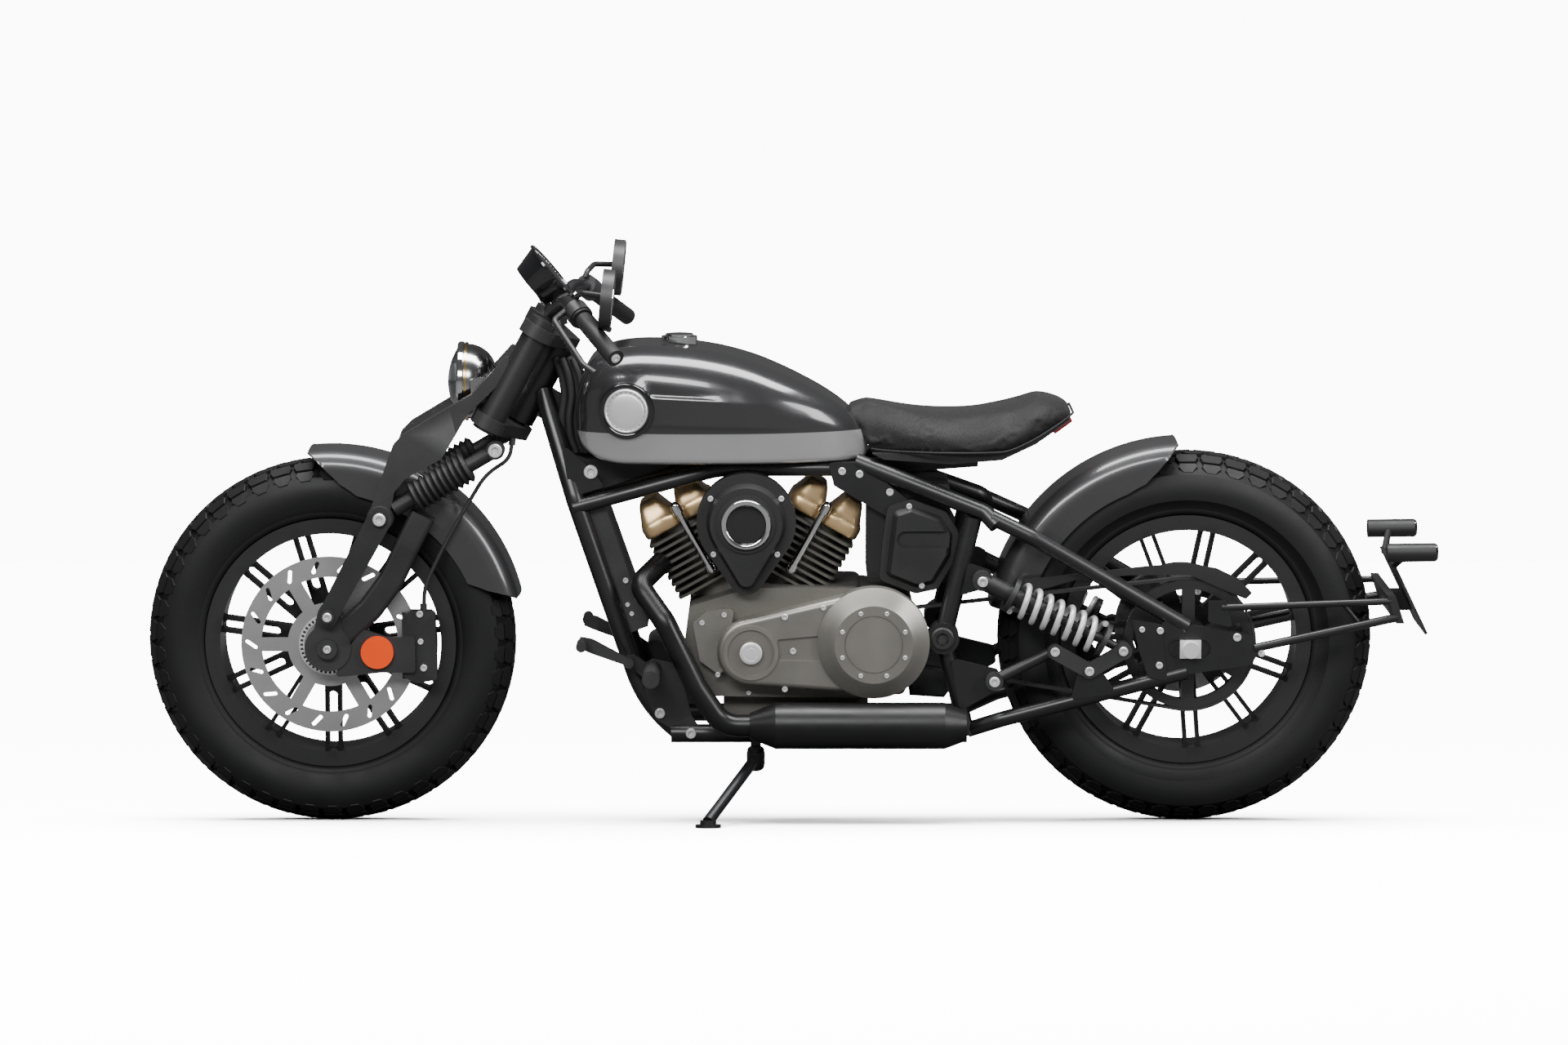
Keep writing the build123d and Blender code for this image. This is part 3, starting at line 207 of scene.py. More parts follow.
def buildShade():
    # Slow colour change between two colours, as on paint, castings and rubber
    inputs = [
        ("First", "NodeSocketColor", (0.1, 0.1, 0.1, 1)),
        ("Second", "NodeSocketColor", (0.2, 0.2, 0.2, 1)),
        ("Scale", "NodeSocketFloat", 8.0),
    ]
    group, given, result = newGroup("slowShade", inputs, [("Colour", "NodeSocketColor")])
    place = group.nodes.new("ShaderNodeTexCoord")
    cloud = group.nodes.new("ShaderNodeTexNoise")
    cloud.inputs["Detail"].default_value = 3
    blend = addMix(group.nodes)
    wire(group, [
        (place, "Object", cloud, "Vector"),
        (given, "Scale", cloud, "Scale"),
        (cloud, "Fac", blend, "Factor"),
        (given, "First", blend, "A"),
        (given, "Second", blend, "B"),
        (blend, "Result", result, "Colour"),
    ])
    return group


def buildEdgeWear():
    # Lightens raised edges, as handling polishes them
    inputs = [
        ("Colour", "NodeSocketColor", (0.1, 0.1, 0.1, 1)),
        ("Worn", "NodeSocketColor", (0.3, 0.3, 0.3, 1)),
        ("Amount", "NodeSocketFloat", 0.3),
    ]
    group, given, result = newGroup("edgeWear", inputs, [("Colour", "NodeSocketColor")])
    shape = group.nodes.new("ShaderNodeNewGeometry")
    span = group.nodes.new("ShaderNodeMapRange")
    span.inputs["From Min"].default_value = 0.52
    span.inputs["From Max"].default_value = 0.62
    share = group.nodes.new("ShaderNodeMath")
    share.operation = "MULTIPLY"
    blend = addMix(group.nodes)
    wire(group, [
        (shape, "Pointiness", span, "Value"),
        (span, "Result", share, 0),
        (given, "Amount", share, 1),
        (share, "Value", blend, "Factor"),
        (given, "Colour", blend, "A"),
        (given, "Worn", blend, "B"),
        (blend, "Result", result, "Colour"),
    ])
    return group


def buildLeather():
    # Height of pebbled leather: cells with creases between them
    inputs = [("Scale", "NodeSocketFloat", 420.0)]
    group, given, result = newGroup("leatherPebble", inputs, [("Height", "NodeSocketFloat")])
    place = group.nodes.new("ShaderNodeTexCoord")
    cells = group.nodes.new("ShaderNodeTexVoronoi")
    cells.feature = "DISTANCE_TO_EDGE"
    ruffle = group.nodes.new("ShaderNodeTexNoise")
    ruffle.inputs["Scale"].default_value = 60
    span = group.nodes.new("ShaderNodeMapRange")
    span.inputs["From Max"].default_value = 0.16
    total = group.nodes.new("ShaderNodeMath")
    total.operation = "ADD"
    wire(group, [
        (place, "Object", cells, "Vector"),
        (place, "Object", ruffle, "Vector"),
        (given, "Scale", cells, "Scale"),
        (cells, "Distance", span, "Value"),
        (span, "Result", total, 0),
        (ruffle, "Fac", total, 1),
        (total, "Value", result, "Height"),
    ])
    return group


grainGroup = buildGrain()
shadeGroup = buildShade()
wearGroup = buildEdgeWear()
leatherGroup = buildLeather()


# Materials
grainDepth = 0.0006  # height of the grain's bump, in metres


def shade(name, look):
    # look: colours, roughness span, metal, grain size and depth, wear and gloss coat
    material = bpy.data.materials.new(name)
    material.use_nodes = True
    nodes = material.node_tree.nodes
    shader = nodes["Principled BSDF"]
    dark, light = look["colours"]
    colour = addShared(nodes, shadeGroup, {
        "First": (*dark, 1), "Second": (*light, 1), "Scale": look.get("cloud", 8),
    })
    if "wear" in look:
        worn, amount = look["wear"]
        wear = addShared(nodes, wearGroup, {"Worn": (*worn, 1), "Amount": amount})
        wire(material.node_tree, [(colour, "Colour", wear, "Colour")])
        colour = wear
    low, high = look["rough"]
    grain = addShared(nodes, grainGroup, {"Scale": look.get("grain", 400), "Low": low, "High": high})
    bump = nodes.new("ShaderNodeBump")
    bump.inputs["Strength"].default_value = look.get("depth", 0.1)
    bump.inputs["Distance"].default_value = grainDepth
    wire(material.node_tree, [
        (colour, "Colour", shader, "Base Color"),
        (grain, "Roughness", shader, "Roughness"),
        (grain, "Height", bump, "Height"),
        (bump, "Normal", shader, "Normal"),
    ])
    shader.inputs["Metallic"].default_value = look.get("metal", 0)
    shader.inputs["Coat Weight"].default_value = look.get("coat", 0)
    shader.inputs["Coat Roughness"].default_value = look.get("coatRough", 0.05)
    shader.inputs["Specular IOR Level"].default_value = look.get("specular", 0.5)
    return material


looks = {
    "tyreRubber": {"colours": [(0.006, 0.006, 0.0065), (0.011, 0.011, 0.0115)], "rough": (0.5, 0.66),
                   "grain": 900, "depth": 0.25, "specular": 0.3},
    "rimPaint": {"colours": [(0.008, 0.008, 0.009), (0.012, 0.012, 0.013)], "rough": (0.24, 0.32),
                 "grain": 600, "depth": 0.03, "wear": [(0.05, 0.05, 0.05), 0.3]},
    "framePaint": {"colours": [(0.007, 0.007, 0.008), (0.011, 0.011, 0.012)], "rough": (0.32, 0.42),
                   "grain": 500, "depth": 0.04, "coat": 0.15, "coatRough": 0.2},
    "blackCasting": {"colours": [(0.011, 0.011, 0.012), (0.018, 0.018, 0.019)], "rough": (0.36, 0.5),
                     "grain": 1300, "depth": 0.22, "wear": [(0.06, 0.06, 0.062), 0.3]},
    "blackPlastic": {"colours": [(0.009, 0.009, 0.0095), (0.014, 0.014, 0.0145)], "rough": (0.42, 0.56),
                     "grain": 1500, "depth": 0.2},
    "tankPaint": {"colours": [(0.042, 0.042, 0.044), (0.05, 0.05, 0.052)], "rough": (0.2, 0.26),
                  "grain": 2200, "depth": 0.02, "metal": 0.55, "coat": 1.0, "coatRough": 0.09},
    "bandPaint": {"colours": [(0.36, 0.36, 0.365), (0.42, 0.42, 0.425)], "rough": (0.26, 0.34),
                  "grain": 2200, "depth": 0.02, "metal": 0.7, "coat": 1.0, "coatRough": 0.04},
    "fenderPaint": {"colours": [(0.04, 0.04, 0.042), (0.048, 0.048, 0.05)], "rough": (0.36, 0.44),
                    "grain": 2000, "depth": 0.02, "metal": 0.4, "coat": 0.8, "coatRough": 0.08},
    "chrome": {"colours": [(0.8, 0.8, 0.81), (0.86, 0.86, 0.87)], "rough": (0.05, 0.11),
               "grain": 700, "depth": 0.015, "metal": 1.0},
    "brightSteel": {"colours": [(0.82, 0.82, 0.82), (0.88, 0.88, 0.88)], "rough": (0.3, 0.42),
                    "grain": 1500, "depth": 0.06, "metal": 0.6},
    "discSteel": {"colours": [(0.4, 0.4, 0.4), (0.46, 0.46, 0.46)], "rough": (0.36, 0.46),
                  "grain": 1800, "depth": 0.1, "metal": 0.8},
    "lampShell": {"colours": [(0.42, 0.42, 0.43), (0.48, 0.48, 0.49)], "rough": (0.14, 0.2),
                  "grain": 500, "depth": 0.01, "metal": 1.0},
    "pipeBlack": {"colours": [(0.007, 0.007, 0.0073), (0.012, 0.012, 0.0125)], "rough": (0.3, 0.42),
                  "grain": 1100, "depth": 0.12, "metal": 0.3},
    "mirrorGlass": {"colours": [(0.72, 0.73, 0.74), (0.78, 0.79, 0.8)], "rough": (0.02, 0.03),
                    "grain": 300, "depth": 0.0, "metal": 1.0},
    "dialWhite": {"colours": [(0.7, 0.7, 0.68), (0.78, 0.78, 0.76)], "rough": (0.4, 0.5),
                  "grain": 300, "depth": 0.02},
    "headGold": {"colours": [(0.62, 0.43, 0.22), (0.72, 0.52, 0.29)], "rough": (0.3, 0.4),
                 "grain": 1400, "depth": 0.08, "metal": 0.8, "wear": [(0.75, 0.62, 0.42), 0.35]},
    "finGrey": {"colours": [(0.095, 0.092, 0.08), (0.13, 0.126, 0.11)], "rough": (0.42, 0.55),
                "grain": 1200, "depth": 0.2, "metal": 0.4, "wear": [(0.2, 0.19, 0.17), 0.4]},
    "coverTitanium": {"colours": [(0.235, 0.224, 0.203), (0.28, 0.268, 0.243)], "rough": (0.34, 0.44),
                      "grain": 1500, "depth": 0.08, "metal": 0.75, "wear": [(0.4, 0.38, 0.34), 0.35]},
    "springSilver": {"colours": [(0.62, 0.62, 0.62), (0.72, 0.72, 0.72)], "rough": (0.3, 0.4),
                     "grain": 1200, "depth": 0.05, "metal": 0.3, "coat": 0.5},
    "bellowsRubber": {"colours": [(0.008, 0.008, 0.008), (0.013, 0.013, 0.013)], "rough": (0.5, 0.62),
                      "grain": 900, "depth": 0.15},
    "beltRubber": {"colours": [(0.014, 0.014, 0.014), (0.022, 0.022, 0.022)], "rough": (0.6, 0.75),
                   "grain": 1100, "depth": 0.25},
    "orangeLens": {"colours": [(0.9, 0.06, 0.002), (1.0, 0.085, 0.004)], "rough": (0.4, 0.5),
                   "grain": 300, "depth": 0.05, "specular": 0.2},
    "redLens": {"colours": [(0.3, 0.01, 0.012), (0.4, 0.015, 0.018)], "rough": (0.12, 0.2),
                "grain": 300, "depth": 0.03, "coat": 1.0},
    "goldRing": {"colours": [(0.72, 0.5, 0.2), (0.8, 0.58, 0.27)], "rough": (0.14, 0.22),
                 "grain": 900, "depth": 0.02, "metal": 1.0},
    "glossBlack": {"colours": [(0.006, 0.006, 0.007), (0.009, 0.009, 0.01)], "rough": (0.08, 0.14),
                   "grain": 500, "depth": 0.01, "coat": 1.0, "coatRough": 0.04},
}
paint = {name: shade(name, look) for name, look in looks.items()}


leather = {"depth": 0.3, "distance": 0.0008, "sheen": 0.05, "look": {
    "colours": [(0.0035, 0.0035, 0.0037), (0.006, 0.006, 0.0062)], "rough": (0.55, 0.66),
    "grain": 700, "depth": 0.1, "specular": 0.28,
}}
glass = {"ior": 1.45, "look": {
    "colours": [(0.9, 0.92, 0.93), (0.95, 0.96, 0.97)], "rough": (0.02, 0.05), "grain": 300, "depth": 0.01,
}}


def makeLeather():
    material = shade("seatLeather", leather["look"])
    nodes = material.node_tree.nodes
    shader = nodes["Principled BSDF"]
    pebble = addShared(nodes, leatherGroup, {})
    bump = nodes.new("ShaderNodeBump")
    bump.inputs["Strength"].default_value = leather["depth"]
    bump.inputs["Distance"].default_value = leather["distance"]
    wire(material.node_tree, [(pebble, "Height", bump, "Height"), (bump, "Normal", shader, "Normal")])
    shader.inputs["Sheen Weight"].default_value = leather["sheen"]
    return material


def makeGlass():
    material = shade("lampGlass", glass["look"])
    shader = material.node_tree.nodes["Principled BSDF"]
    shader.inputs["Transmission Weight"].default_value = 1.0
    shader.inputs["IOR"].default_value = glass["ior"]
    return material


def buildBandMask():
    # 1 below a height on the upright bike, in millimetres, and 0 above it
    inputs = [("Height", "NodeSocketFloat", 694.0)]
    group, given, result = newGroup("bandMask", inputs, [("Mask", "NodeSocketFloat")])
    *upward, offset = fromWorld[2]
    place = group.nodes.new("ShaderNodeTexCoord")
    level = group.nodes.new("ShaderNodeVectorMath")
    level.operation = "DOT_PRODUCT"
    level.inputs[1].default_value = upward
    total = group.nodes.new("ShaderNodeMath")
    total.operation = "ADD"
    total.inputs[1].default_value = offset
    below = group.nodes.new("ShaderNodeMath")
    below.operation = "SUBTRACT"
    below.use_clamp = True
    wire(group, [
        (place, "Object", level, 0),
        (level, "Value", total, 0),
        (given, "Height", below, 0),
        (total, "Value", below, 1),
        (below, "Value", result, "Mask"),
    ])
    return group


def makeTwoTone():
    # Tank paint with a silver band along the foot of the tank
    material = shade("tankTwoTone", looks["tankPaint"])
    nodes = material.node_tree.nodes
    shader = nodes["Principled BSDF"]
    dark, light = looks["bandPaint"]["colours"]
    band = addShared(nodes, shadeGroup, {"First": (*dark, 1), "Second": (*light, 1)})
    mask = addShared(nodes, buildBandMask(), {})
    mix = addMix(nodes)
    wire(material.node_tree, [
        (mask, "Mask", mix, "Factor"),
        (shader.inputs["Base Color"].links[0].from_node, "Colour", mix, "A"),
        (band, "Colour", mix, "B"),
        (mix, "Result", shader, "Base Color"),
    ])
    return material


paint["tankTwoTone"] = makeTwoTone()
paint["seatLeather"] = makeLeather()
paint["lampGlass"] = makeGlass()
print("materials", len(paint))


# The CAD nodes' finishes
finishes = {
    "tyreRubber": ["front_tyre", "rear_tyre"],
    "rimPaint": ["front_rim", "rear_rim", "rear_pulley"],
    "discSteel": ["front_disc", "rear_disc"],
    "framePaint": ["frame_head", "frame_down_tubes", "frame_upper_rails", "frame_lower_rails",
                   "frame_pivot_struts", "swingarm", "tail_arms", "handlebar", "stand_bracket",
                   "side_stand"],
    "blackCasting": ["fork_yokes", "fork_arms", "fork_legs", "fork_links", "brake_caliper", "bar_controls",
                     "foot_controls", "rear_shocks", "rear_caliper", "radiator", "mirrors",
                     "front_axle_shaft"],
    "blackPlastic": ["seat_pan", "side_covers", "belt_guard", "plate_carrier", "air_cleaner"],
    "pipeBlack": ["exhaust"],
    "tankPaint": ["fuel_tank"],
    "fenderPaint": ["front_fender", "rear_fender"],
    "glossBlack": ["gauge"],
    "lampShell": ["headlight_shell"],
    "chrome": ["fuel_cap", "pushrod_tubes"],
    "brightSteel": ["rear_axle_shaft"],
    "headGold": ["head_covers"],
    "finGrey": ["cylinders", "crankcase"],
    "coverTitanium": ["engine_covers"],
    "springSilver": ["shock_springs"],
    "bellowsRubber": ["front_dampers", "grips"],
    "beltRubber": ["drive_belt", "brake_hose"],
    "orangeLens": ["reflector"],
    "redLens": ["tail_lamp"],
    "seatLeather": ["seat_pad"],
    "lampGlass": ["headlight_lens"],
}
for finish, nodeNames in finishes.items():
    for name in nodeNames:
        mesh = frame["nodes"][name].data
        mesh.materials.clear()
        mesh.materials.append(paint[finish])
        mesh.shade_smooth()
        mesh.set_sharp_from_angle(angle=radians(30))
print("CAD nodes finished")


# Tyres: a moulded carcass under one row of tread blocks and two shoulder rows on each side
tyreShape = {
    "crown": 75, "crownEdge": 38, "depth": 6.5, "flankFoot": 282, "pitches": 46, "steps": 184,
    # Section from the bead up: (radius, place across), then (radius, inset from the full width)
    "bead": [(204.6, 43), (217.5, 44), (219, 50), (222, 53.5), (226, 55.5), (229, 55.8), (231, 57.2),
             (236, 59.5)],
    "wall": [(246, 2.2), (258, 0), (270, 0.4), (281, 3), (290, 7.5)],
    "crownDegrees": (40, 32, 24, 16, 8, 0), "shoulderOut": 1.5,
    "sunk": 1, "edge": 1.2, "shrink": 0.1,  # how a tread block stands in the carcass and tapers
    # Blocks for one pitch: (share of the pitch, reach) corners and the height over the crown
    "blocks": [
        ([(0.36, 1.5), (1.06, 1.5), (1.20, 12), (1.10, 22.5), (0.46, 22.5), (0.30, 12)], 0),
        ([(0.06, 25), (0.90, 25), (0.96, 36), (0.84, 49), (0.12, 49), (0.0, 36)], 0),
        ([(0.14, 52), (0.86, 52), (0.92, 60), (0.70, 73), (0.30, 73), (0.08, 60)], 0.6),
    ],
}


def treadPoint(wheel, angle, reach, lift):
    # reach is the distance along the section from the middle of the tread, lift is outward.
    # Past the round crown the section runs straight down to the foot of the flank
    edge = radians(tyreShape["crownEdge"])
    crown = tyreShape["crown"]
    side = 1 if reach >= 0 else -1
    bend = min(abs(reach) / crown, edge)
    rest = max(abs(reach) - crown * edge, 0)
    radius = wheel["radius"] - crown + crown * cos(bend)
    across = crown * sin(bend)
    slope = Vector((tyreShape["flankFoot"] - radius, wheel["half"] - 1 - across)).normalized()
    outward = Vector((cos(bend), sin(bend)))
    if rest:
        radius += slope.x * rest
        across += slope.y * rest
        outward = Vector((slope.y, -slope.x))
    radius += outward.x * lift
    across = (across + outward.y * lift) * side
    return Vector((wheel["axle"].x + radius * cos(angle), across, wheel["axle"].z + radius * sin(angle)))


def tyreCarcass(bm, wheel):
    # The tyre down to the grooves of its tread
    depth = tyreShape["depth"]
    half = wheel["half"]
    top = wheel["radius"] - tyreShape["crown"]
    crown = tyreShape["crown"] - depth
    section = tyreShape["bead"] + [(radius, half - inset) for radius, inset in tyreShape["wall"]]
    for degree in tyreShape["crownDegrees"]:
        a = radians(degree)
        out = tyreShape["shoulderOut"] if degree == tyreShape["crownDegrees"][0] else 0
        section.append((top + crown * cos(a), crown * sin(a) + out))
    section += [(radius, -across) for radius, across in reversed(section[:-1])]
    x, _, z = wheel["axle"]
    rings = []
    for step in range(tyreShape["steps"]):
        a = 2 * pi * step / tyreShape["steps"]
        rings.append([Vector((x + r * cos(a), across, z + r * sin(a))) for r, across in section])
    joinRings(bm, rings, closeEnds=True)


def treadBlock(bm, wheel, outline, low, high):
    # outline holds (angle, reach) corners; the top is a little smaller than the foot
    shrink = tyreShape["shrink"]
    middle = sum((Vector(corner) for corner in outline), Vector((0, 0))) / len(outline)
    levels = []
    for lift, size in ((low, 1.0), (high - tyreShape["edge"], 1 - shrink * 0.5), (high, 1 - shrink)):
        ring = []
        for corner in outline:
            spot = middle + (Vector(corner) - middle) * size
            ring.append(treadPoint(wheel, spot.x, spot.y, lift))
        levels.append(ring)
    rows = joinRings(bm, levels)
    bm.faces.new(rows[-1])


def tyreTread(bm, wheel):
    pitch = 2 * pi / tyreShape["pitches"]
    foot = -tyreShape["depth"] - tyreShape["sunk"]
    for number in range(tyreShape["pitches"]):
        start = number * pitch
        for side in (1, -1):
            shift = 0 if side > 0 else 0.5
            a = start + shift * pitch
            for outline, high in tyreShape["blocks"]:
                corners = [(a + along * pitch, side * reach) for along, reach in outline]
                treadBlock(bm, wheel, corners, foot, high)


wheels = {
    "front": {"axle": frontAxle, "radius": 319, "half": 65, "body": "front_wheel", "node": "front_tyre"},
    "rear": {"axle": rearAxle, "radius": 325, "half": 74, "body": "rear_wheel", "node": "rear_tyre"},
}
for name, wheel in wheels.items():
    bm = bmesh.new()
    tyreCarcass(bm, wheel)
    tyreTread(bm, wheel)
    tyre = addPiece(name + "TyreTread", bm, paint["tyreRubber"], wheel["body"], 28)
    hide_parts(wheel["node"])
print("tyres")


# Bolt heads: a bevelled round head with a hexagon socket, in shares of its height and radius
boltForm = {"sunk": 0.5, "shoulder": 0.7, "floor": 0.3, "top": 0.86, "mouth": 0.52, "socket": 0.5}
clutchBolts = {"x": -198, "z": 335, "circle": 58, "count": 8}


def boltHead(bm, place, radius, height, outward=(0, 1, 0)):
    top, mouth = radius * boltForm["top"], radius * boltForm["mouth"]
    floor = height * boltForm["floor"]
    profile = [(-boltForm["sunk"], radius), (height * boltForm["shoulder"], radius), (height, top), (height, mouth)]
    socket = [(height, mouth), (floor, radius * boltForm["socket"]), (floor, 0)]
    turnProfile(bm, place, outward, profile, 24)
    turnProfile(bm, place, outward, socket, 6)


rayStart = 600  # how far out to a side the rays start
seatStep = 3  # how much a left seat and its right one may differ


def faceAt(x, z, side=1):
    # Where a ray from one side of the bike meets it: its place across and the node it meets
    start = toWorld @ Vector((x, side * rayStart, z))
    ahead = toWorld @ Vector((x, 0, z)) - start
    graph = bpy.context.evaluated_depsgraph_get()
    found, spot, _, _, met, _ = bpy.context.scene.ray_cast(graph, start, ahead.normalized())
    if not found:
        return None, None
    return (fromWorld @ spot).y, met.name


def seatOf(x, z, radius, side=1):
    # The outermost face that a head of this radius meets
    hits = []
    for across, up in ((0, 0), (0.7, 0), (-0.7, 0), (0, 0.7), (0, -0.7)):
        y, name = faceAt(x + across * radius, z + up * radius, side)
        if name:
            hits.append((side * y, name))
    return max(hits) if hits else (None, None)


def clutchRing(radius, height):
    angles = [2 * pi * (i + 0.5) / clutchBolts["count"] for i in range(clutchBolts["count"])]
    x, z, circle = clutchBolts["x"], clutchBolts["z"], clutchBolts["circle"]
    return [(x + circle * cos(a), z + circle * sin(a), radius, height) for a in angles]


boltSets = {  # body, finish and rows of x, z, radius, height
    "chassisBolts": ("chassis", "brightSteel", [
        (169, 206, 9, 5), (115.5, 172.6, 9, 5), (-144, 625, 6.5, 3), (-174, 620, 6.5, 3), (-226, 589, 6.5, 3),
        (-384, 442, 9, 5), (-405, 269, 9, 4), (-508, 321, 8, 4), (-567, 288, 8, 3), (-625, 322, 8, 4),
        (-762, 403, 6, 4), (-688, 357, 6, 4), (-687, 297, 6, 4), (-820, 345, 7, 4), (-862, 317, 6, 4),
        (-657, 359, 5, 3), (287, 622, 12, 6), (228, 432, 5, 3), (225, 390, 4, 3), (218, 374, 4, 3),
    ]),
    "cleanerBolts": ("chassis", "brightSteel", [
        (81, 582, 5, 3), (-40, 582, 5, 3), (76, 486, 5, 3), (-33, 486, 5, 3),
    ]),
    "coverBolts": ("chassis", "brightSteel", [
        (-46, 380, 5.5, 3), (-60, 320, 5.5, 3), (-46, 254, 5, 3), (69, 276, 4.5, 3), (96, 366, 4.5, 3),
        (58, 380, 4.5, 3), (16, 242, 4.5, 3), (-112, 396, 4.5, 3),
        *clutchRing(4, 2.4),
    ]),
    "sideCoverScrews": ("chassis", "brightSteel", [(-259, 566, 5, 2.5), (-281, 429, 5, 2.5)]),
    "pivotCaps": ("chassis", "blackCasting", [(-316, 341, 20, 6)]),
    "forkBolts": ("steering", "brightSteel", [
        (647, 546, 11, 5), (738, 377, 8, 4), (740, 319, 7, 4), (449, 663, 12, 5), (582, 377, 6, 4),
        (576, 283, 6, 4), (581, 329, 5, 3),
    ]),
}
for name, (body, finish, places) in boltSets.items():
    bm = bmesh.new()
    for x, z, radius, height in places:
        y, node = seatOf(x, z, radius)
        boltHead(bm, (x, y, z), radius, height)
        far, farNode = seatOf(x, z, radius, -1)
        if farNode == node and abs(far - y) < seatStep:
            boltHead(bm, (x, -far, z), radius, height, (0, -1, 0))
    piece = addPiece(name, bm, paint[finish], body, 30)
print("bolts")


def smooth(value):
    value = min(max(value, 0.0), 1.0)
    return value * value * (3 - 2 * value)


def along(table, x):
    # Smooth value at x from a table of (x, value) pairs in falling order of x
    if x >= table[0][0]:
        return table[0][1]
    for i in range(len(table) - 1):
        if x >= table[i + 1][0]:
            (x1, v1), (x2, v2) = table[i], table[i + 1]
            before, after = table[max(i - 1, 0)], table[min(i + 2, len(table) - 1)]
            s1 = (v2 - before[1]) / (x2 - before[0])
            s2 = (after[1] - v1) / (after[0] - x1)
            t = (x - x1) / (x2 - x1)
            run = x2 - x1
            return ((2 * t**3 - 3 * t**2 + 1) * v1 + (t**3 - 2 * t**2 + t) * run * s1
                    + (3 * t**2 - 2 * t**3) * v2 + (t**3 - t**2) * run * s2)
    return table[-1][1]


# Tank: a smooth shell with a raised spear that runs back from the badge
tank = {  # top, low, half and corner: (x, value) down the tank
    "top": [(314, 722), (311, 752), (306, 774), (298, 794), (283, 816), (254, 831), (211, 838), (159, 838),
            (103, 833), (53, 824), (4, 810), (-38, 793), (-81, 772), (-120, 750), (-153, 726), (-174, 703),
            (-184, 682), (-189, 664)],
    "low": [(314, 706), (311, 690), (302, 670), (279, 651), (245, 642), (200, 641), (-150, 641), (-175, 642),
            (-184, 645), (-189, 656)],
    "half": [(314, 50), (311, 72), (300, 96), (280, 112), (240, 128), (190, 136), (130, 140), (60, 139),
             (-20, 132), (-80, 117), (-130, 98), (-165, 76), (-182, 62), (-189, 52)],
    "corner": [(314, 7), (306, 40), (280, 58), (240, 66), (130, 74), (-20, 72), (-90, 56), (-130, 44),
               (-165, 26), (-182, 15), (-189, 4)],
    "foot": 9, "badge": (224, 733), "bossR": 49, "bossRise": 3.6, "edge": 9, "rings": 110,
    "sides": {"low": 5, "foot": 5, "wall": 44, "corner": 15, "top": 5},  # points on half a ring
}
spear = {
    "rise": 3.4, "from": 180, "top": 758, "topFall": 0.0445, "low": 706, "lowFall": 0.029,
    "rear": -78, "rearFade": 120, "front": 226, "frontFade": 12, "end": -80,
}


def tankRelief(x, z):
    # Height of the badge's boss and of the spear behind it
    edge = tank["edge"]
    away = ((x - tank["badge"][0]) ** 2 + (z - tank["badge"][1]) ** 2) ** 0.5
    boss = tank["bossRise"] * (1 - smooth((away - tank["bossR"]) / edge + 0.5))
    upper = spear["top"] - (spear["from"] - x) * spear["topFall"]
    lower = spear["low"] - (spear["from"] - x) * spear["lowFall"]
    inside = smooth((z - lower) / edge + 0.5) * (1 - smooth((z - upper) / edge + 0.5))
    fade = smooth((x - spear["rear"]) / spear["rearFade"]) * smooth((spear["front"] - x) / spear["frontFade"])
    return max(boss, spear["rise"] * inside * fade)


def tankRing(x):
    high, low = along(tank["top"], x), along(tank["low"], x)
    half = along(tank["half"], x)
    corner = min(along(tank["corner"], x), half - 1, (high - low) * 0.9 - 2)
    foot = min(tank["foot"], (high - low) * 0.3, half * 0.5)
    count = tank["sides"]
    side = []  # from the middle of the underside up the left side to the middle of the top
    for i in range(count["low"]):
        side.append((i / count["low"] * (half - foot), low, 0, -1))
    for i in range(count["foot"]):
        a = pi / 2 * i / (count["foot"] - 1)
        side.append((half - foot + foot * sin(a), low + foot - foot * cos(a), sin(a), -cos(a)))
    start, stop = low + foot, high - corner
    for i in range(1, count["wall"]):
        side.append((half, start + (stop - start) * i / count["wall"], 1, 0))
    for i in range(count["corner"]):
        a = pi / 2 * i / (count["corner"] - 1)
        side.append((half - corner + corner * cos(a), stop + corner * sin(a), cos(a), sin(a)))
    for i in range(1, count["top"] + 1):
        side.append(((half - corner) * (1 - i / count["top"]), high, 0, 1))
    points = []
    for y, z, outY, outZ in side:
        lift = tankRelief(x, z) if outY > 0.2 and x > spear["end"] else 0
        points.append((y + outY * lift, z + outZ * lift))
    ring = [Vector((x, y, z)) for y, z in points]
    return ring + [Vector((x, -y, z)) for y, z in reversed(points[1:-1])]


def skinAlong(bm, form, ringAt):
    # Skins rings from front to rear, closer together towards the ends
    front, rear = form["top"][0][0], form["top"][-1][0]
    middle, reach = (front + rear) / 2, (front - rear) / 2
    count = form["rings"]
    joinRings(bm, [ringAt(middle + reach * cos(pi * i / count)) for i in range(count + 1)], capEnds=True)


def tankShell():
    bm = bmesh.new()
    skinAlong(bm, tank, tankRing)
    return addPiece("tankShell", bm, paint["tankTwoTone"], "chassis", 60)


def tankNormal(x):
    slope = (along(tank["half"], x + 2) - along(tank["half"], x - 2)) / 4
    return Vector((-slope, 1, 0)).normalized()


# Badge: a bright disc with a rolled rim, a groove and a low dome, in a black ring with beads.
# The profiles hold (distance outward, radius)
badge = {
    "disc": [(-1, 38), (3.5, 38), (5.2, 36.8), (5.6, 35.4), (5.0, 34.2), (3.4, 33.4), (3.4, 31.2), (4.6, 30.2),
             (5.4, 27), (6.4, 20), (7.0, 12), (7.2, 5), (7.25, 0)],
    "ring": [(-4, 48.5), (2.2, 48), (3.4, 46), (3.4, 41), (1.8, 38.6), (-1, 38.4)],
    "bead": [(-0.2, 0.9), (0.5, 0.8), (0.5, 0)],
    "beads": 24, "beadRise": 3.4, "beadR": 32.3, "steps": 64, "beadSteps": 8,
}


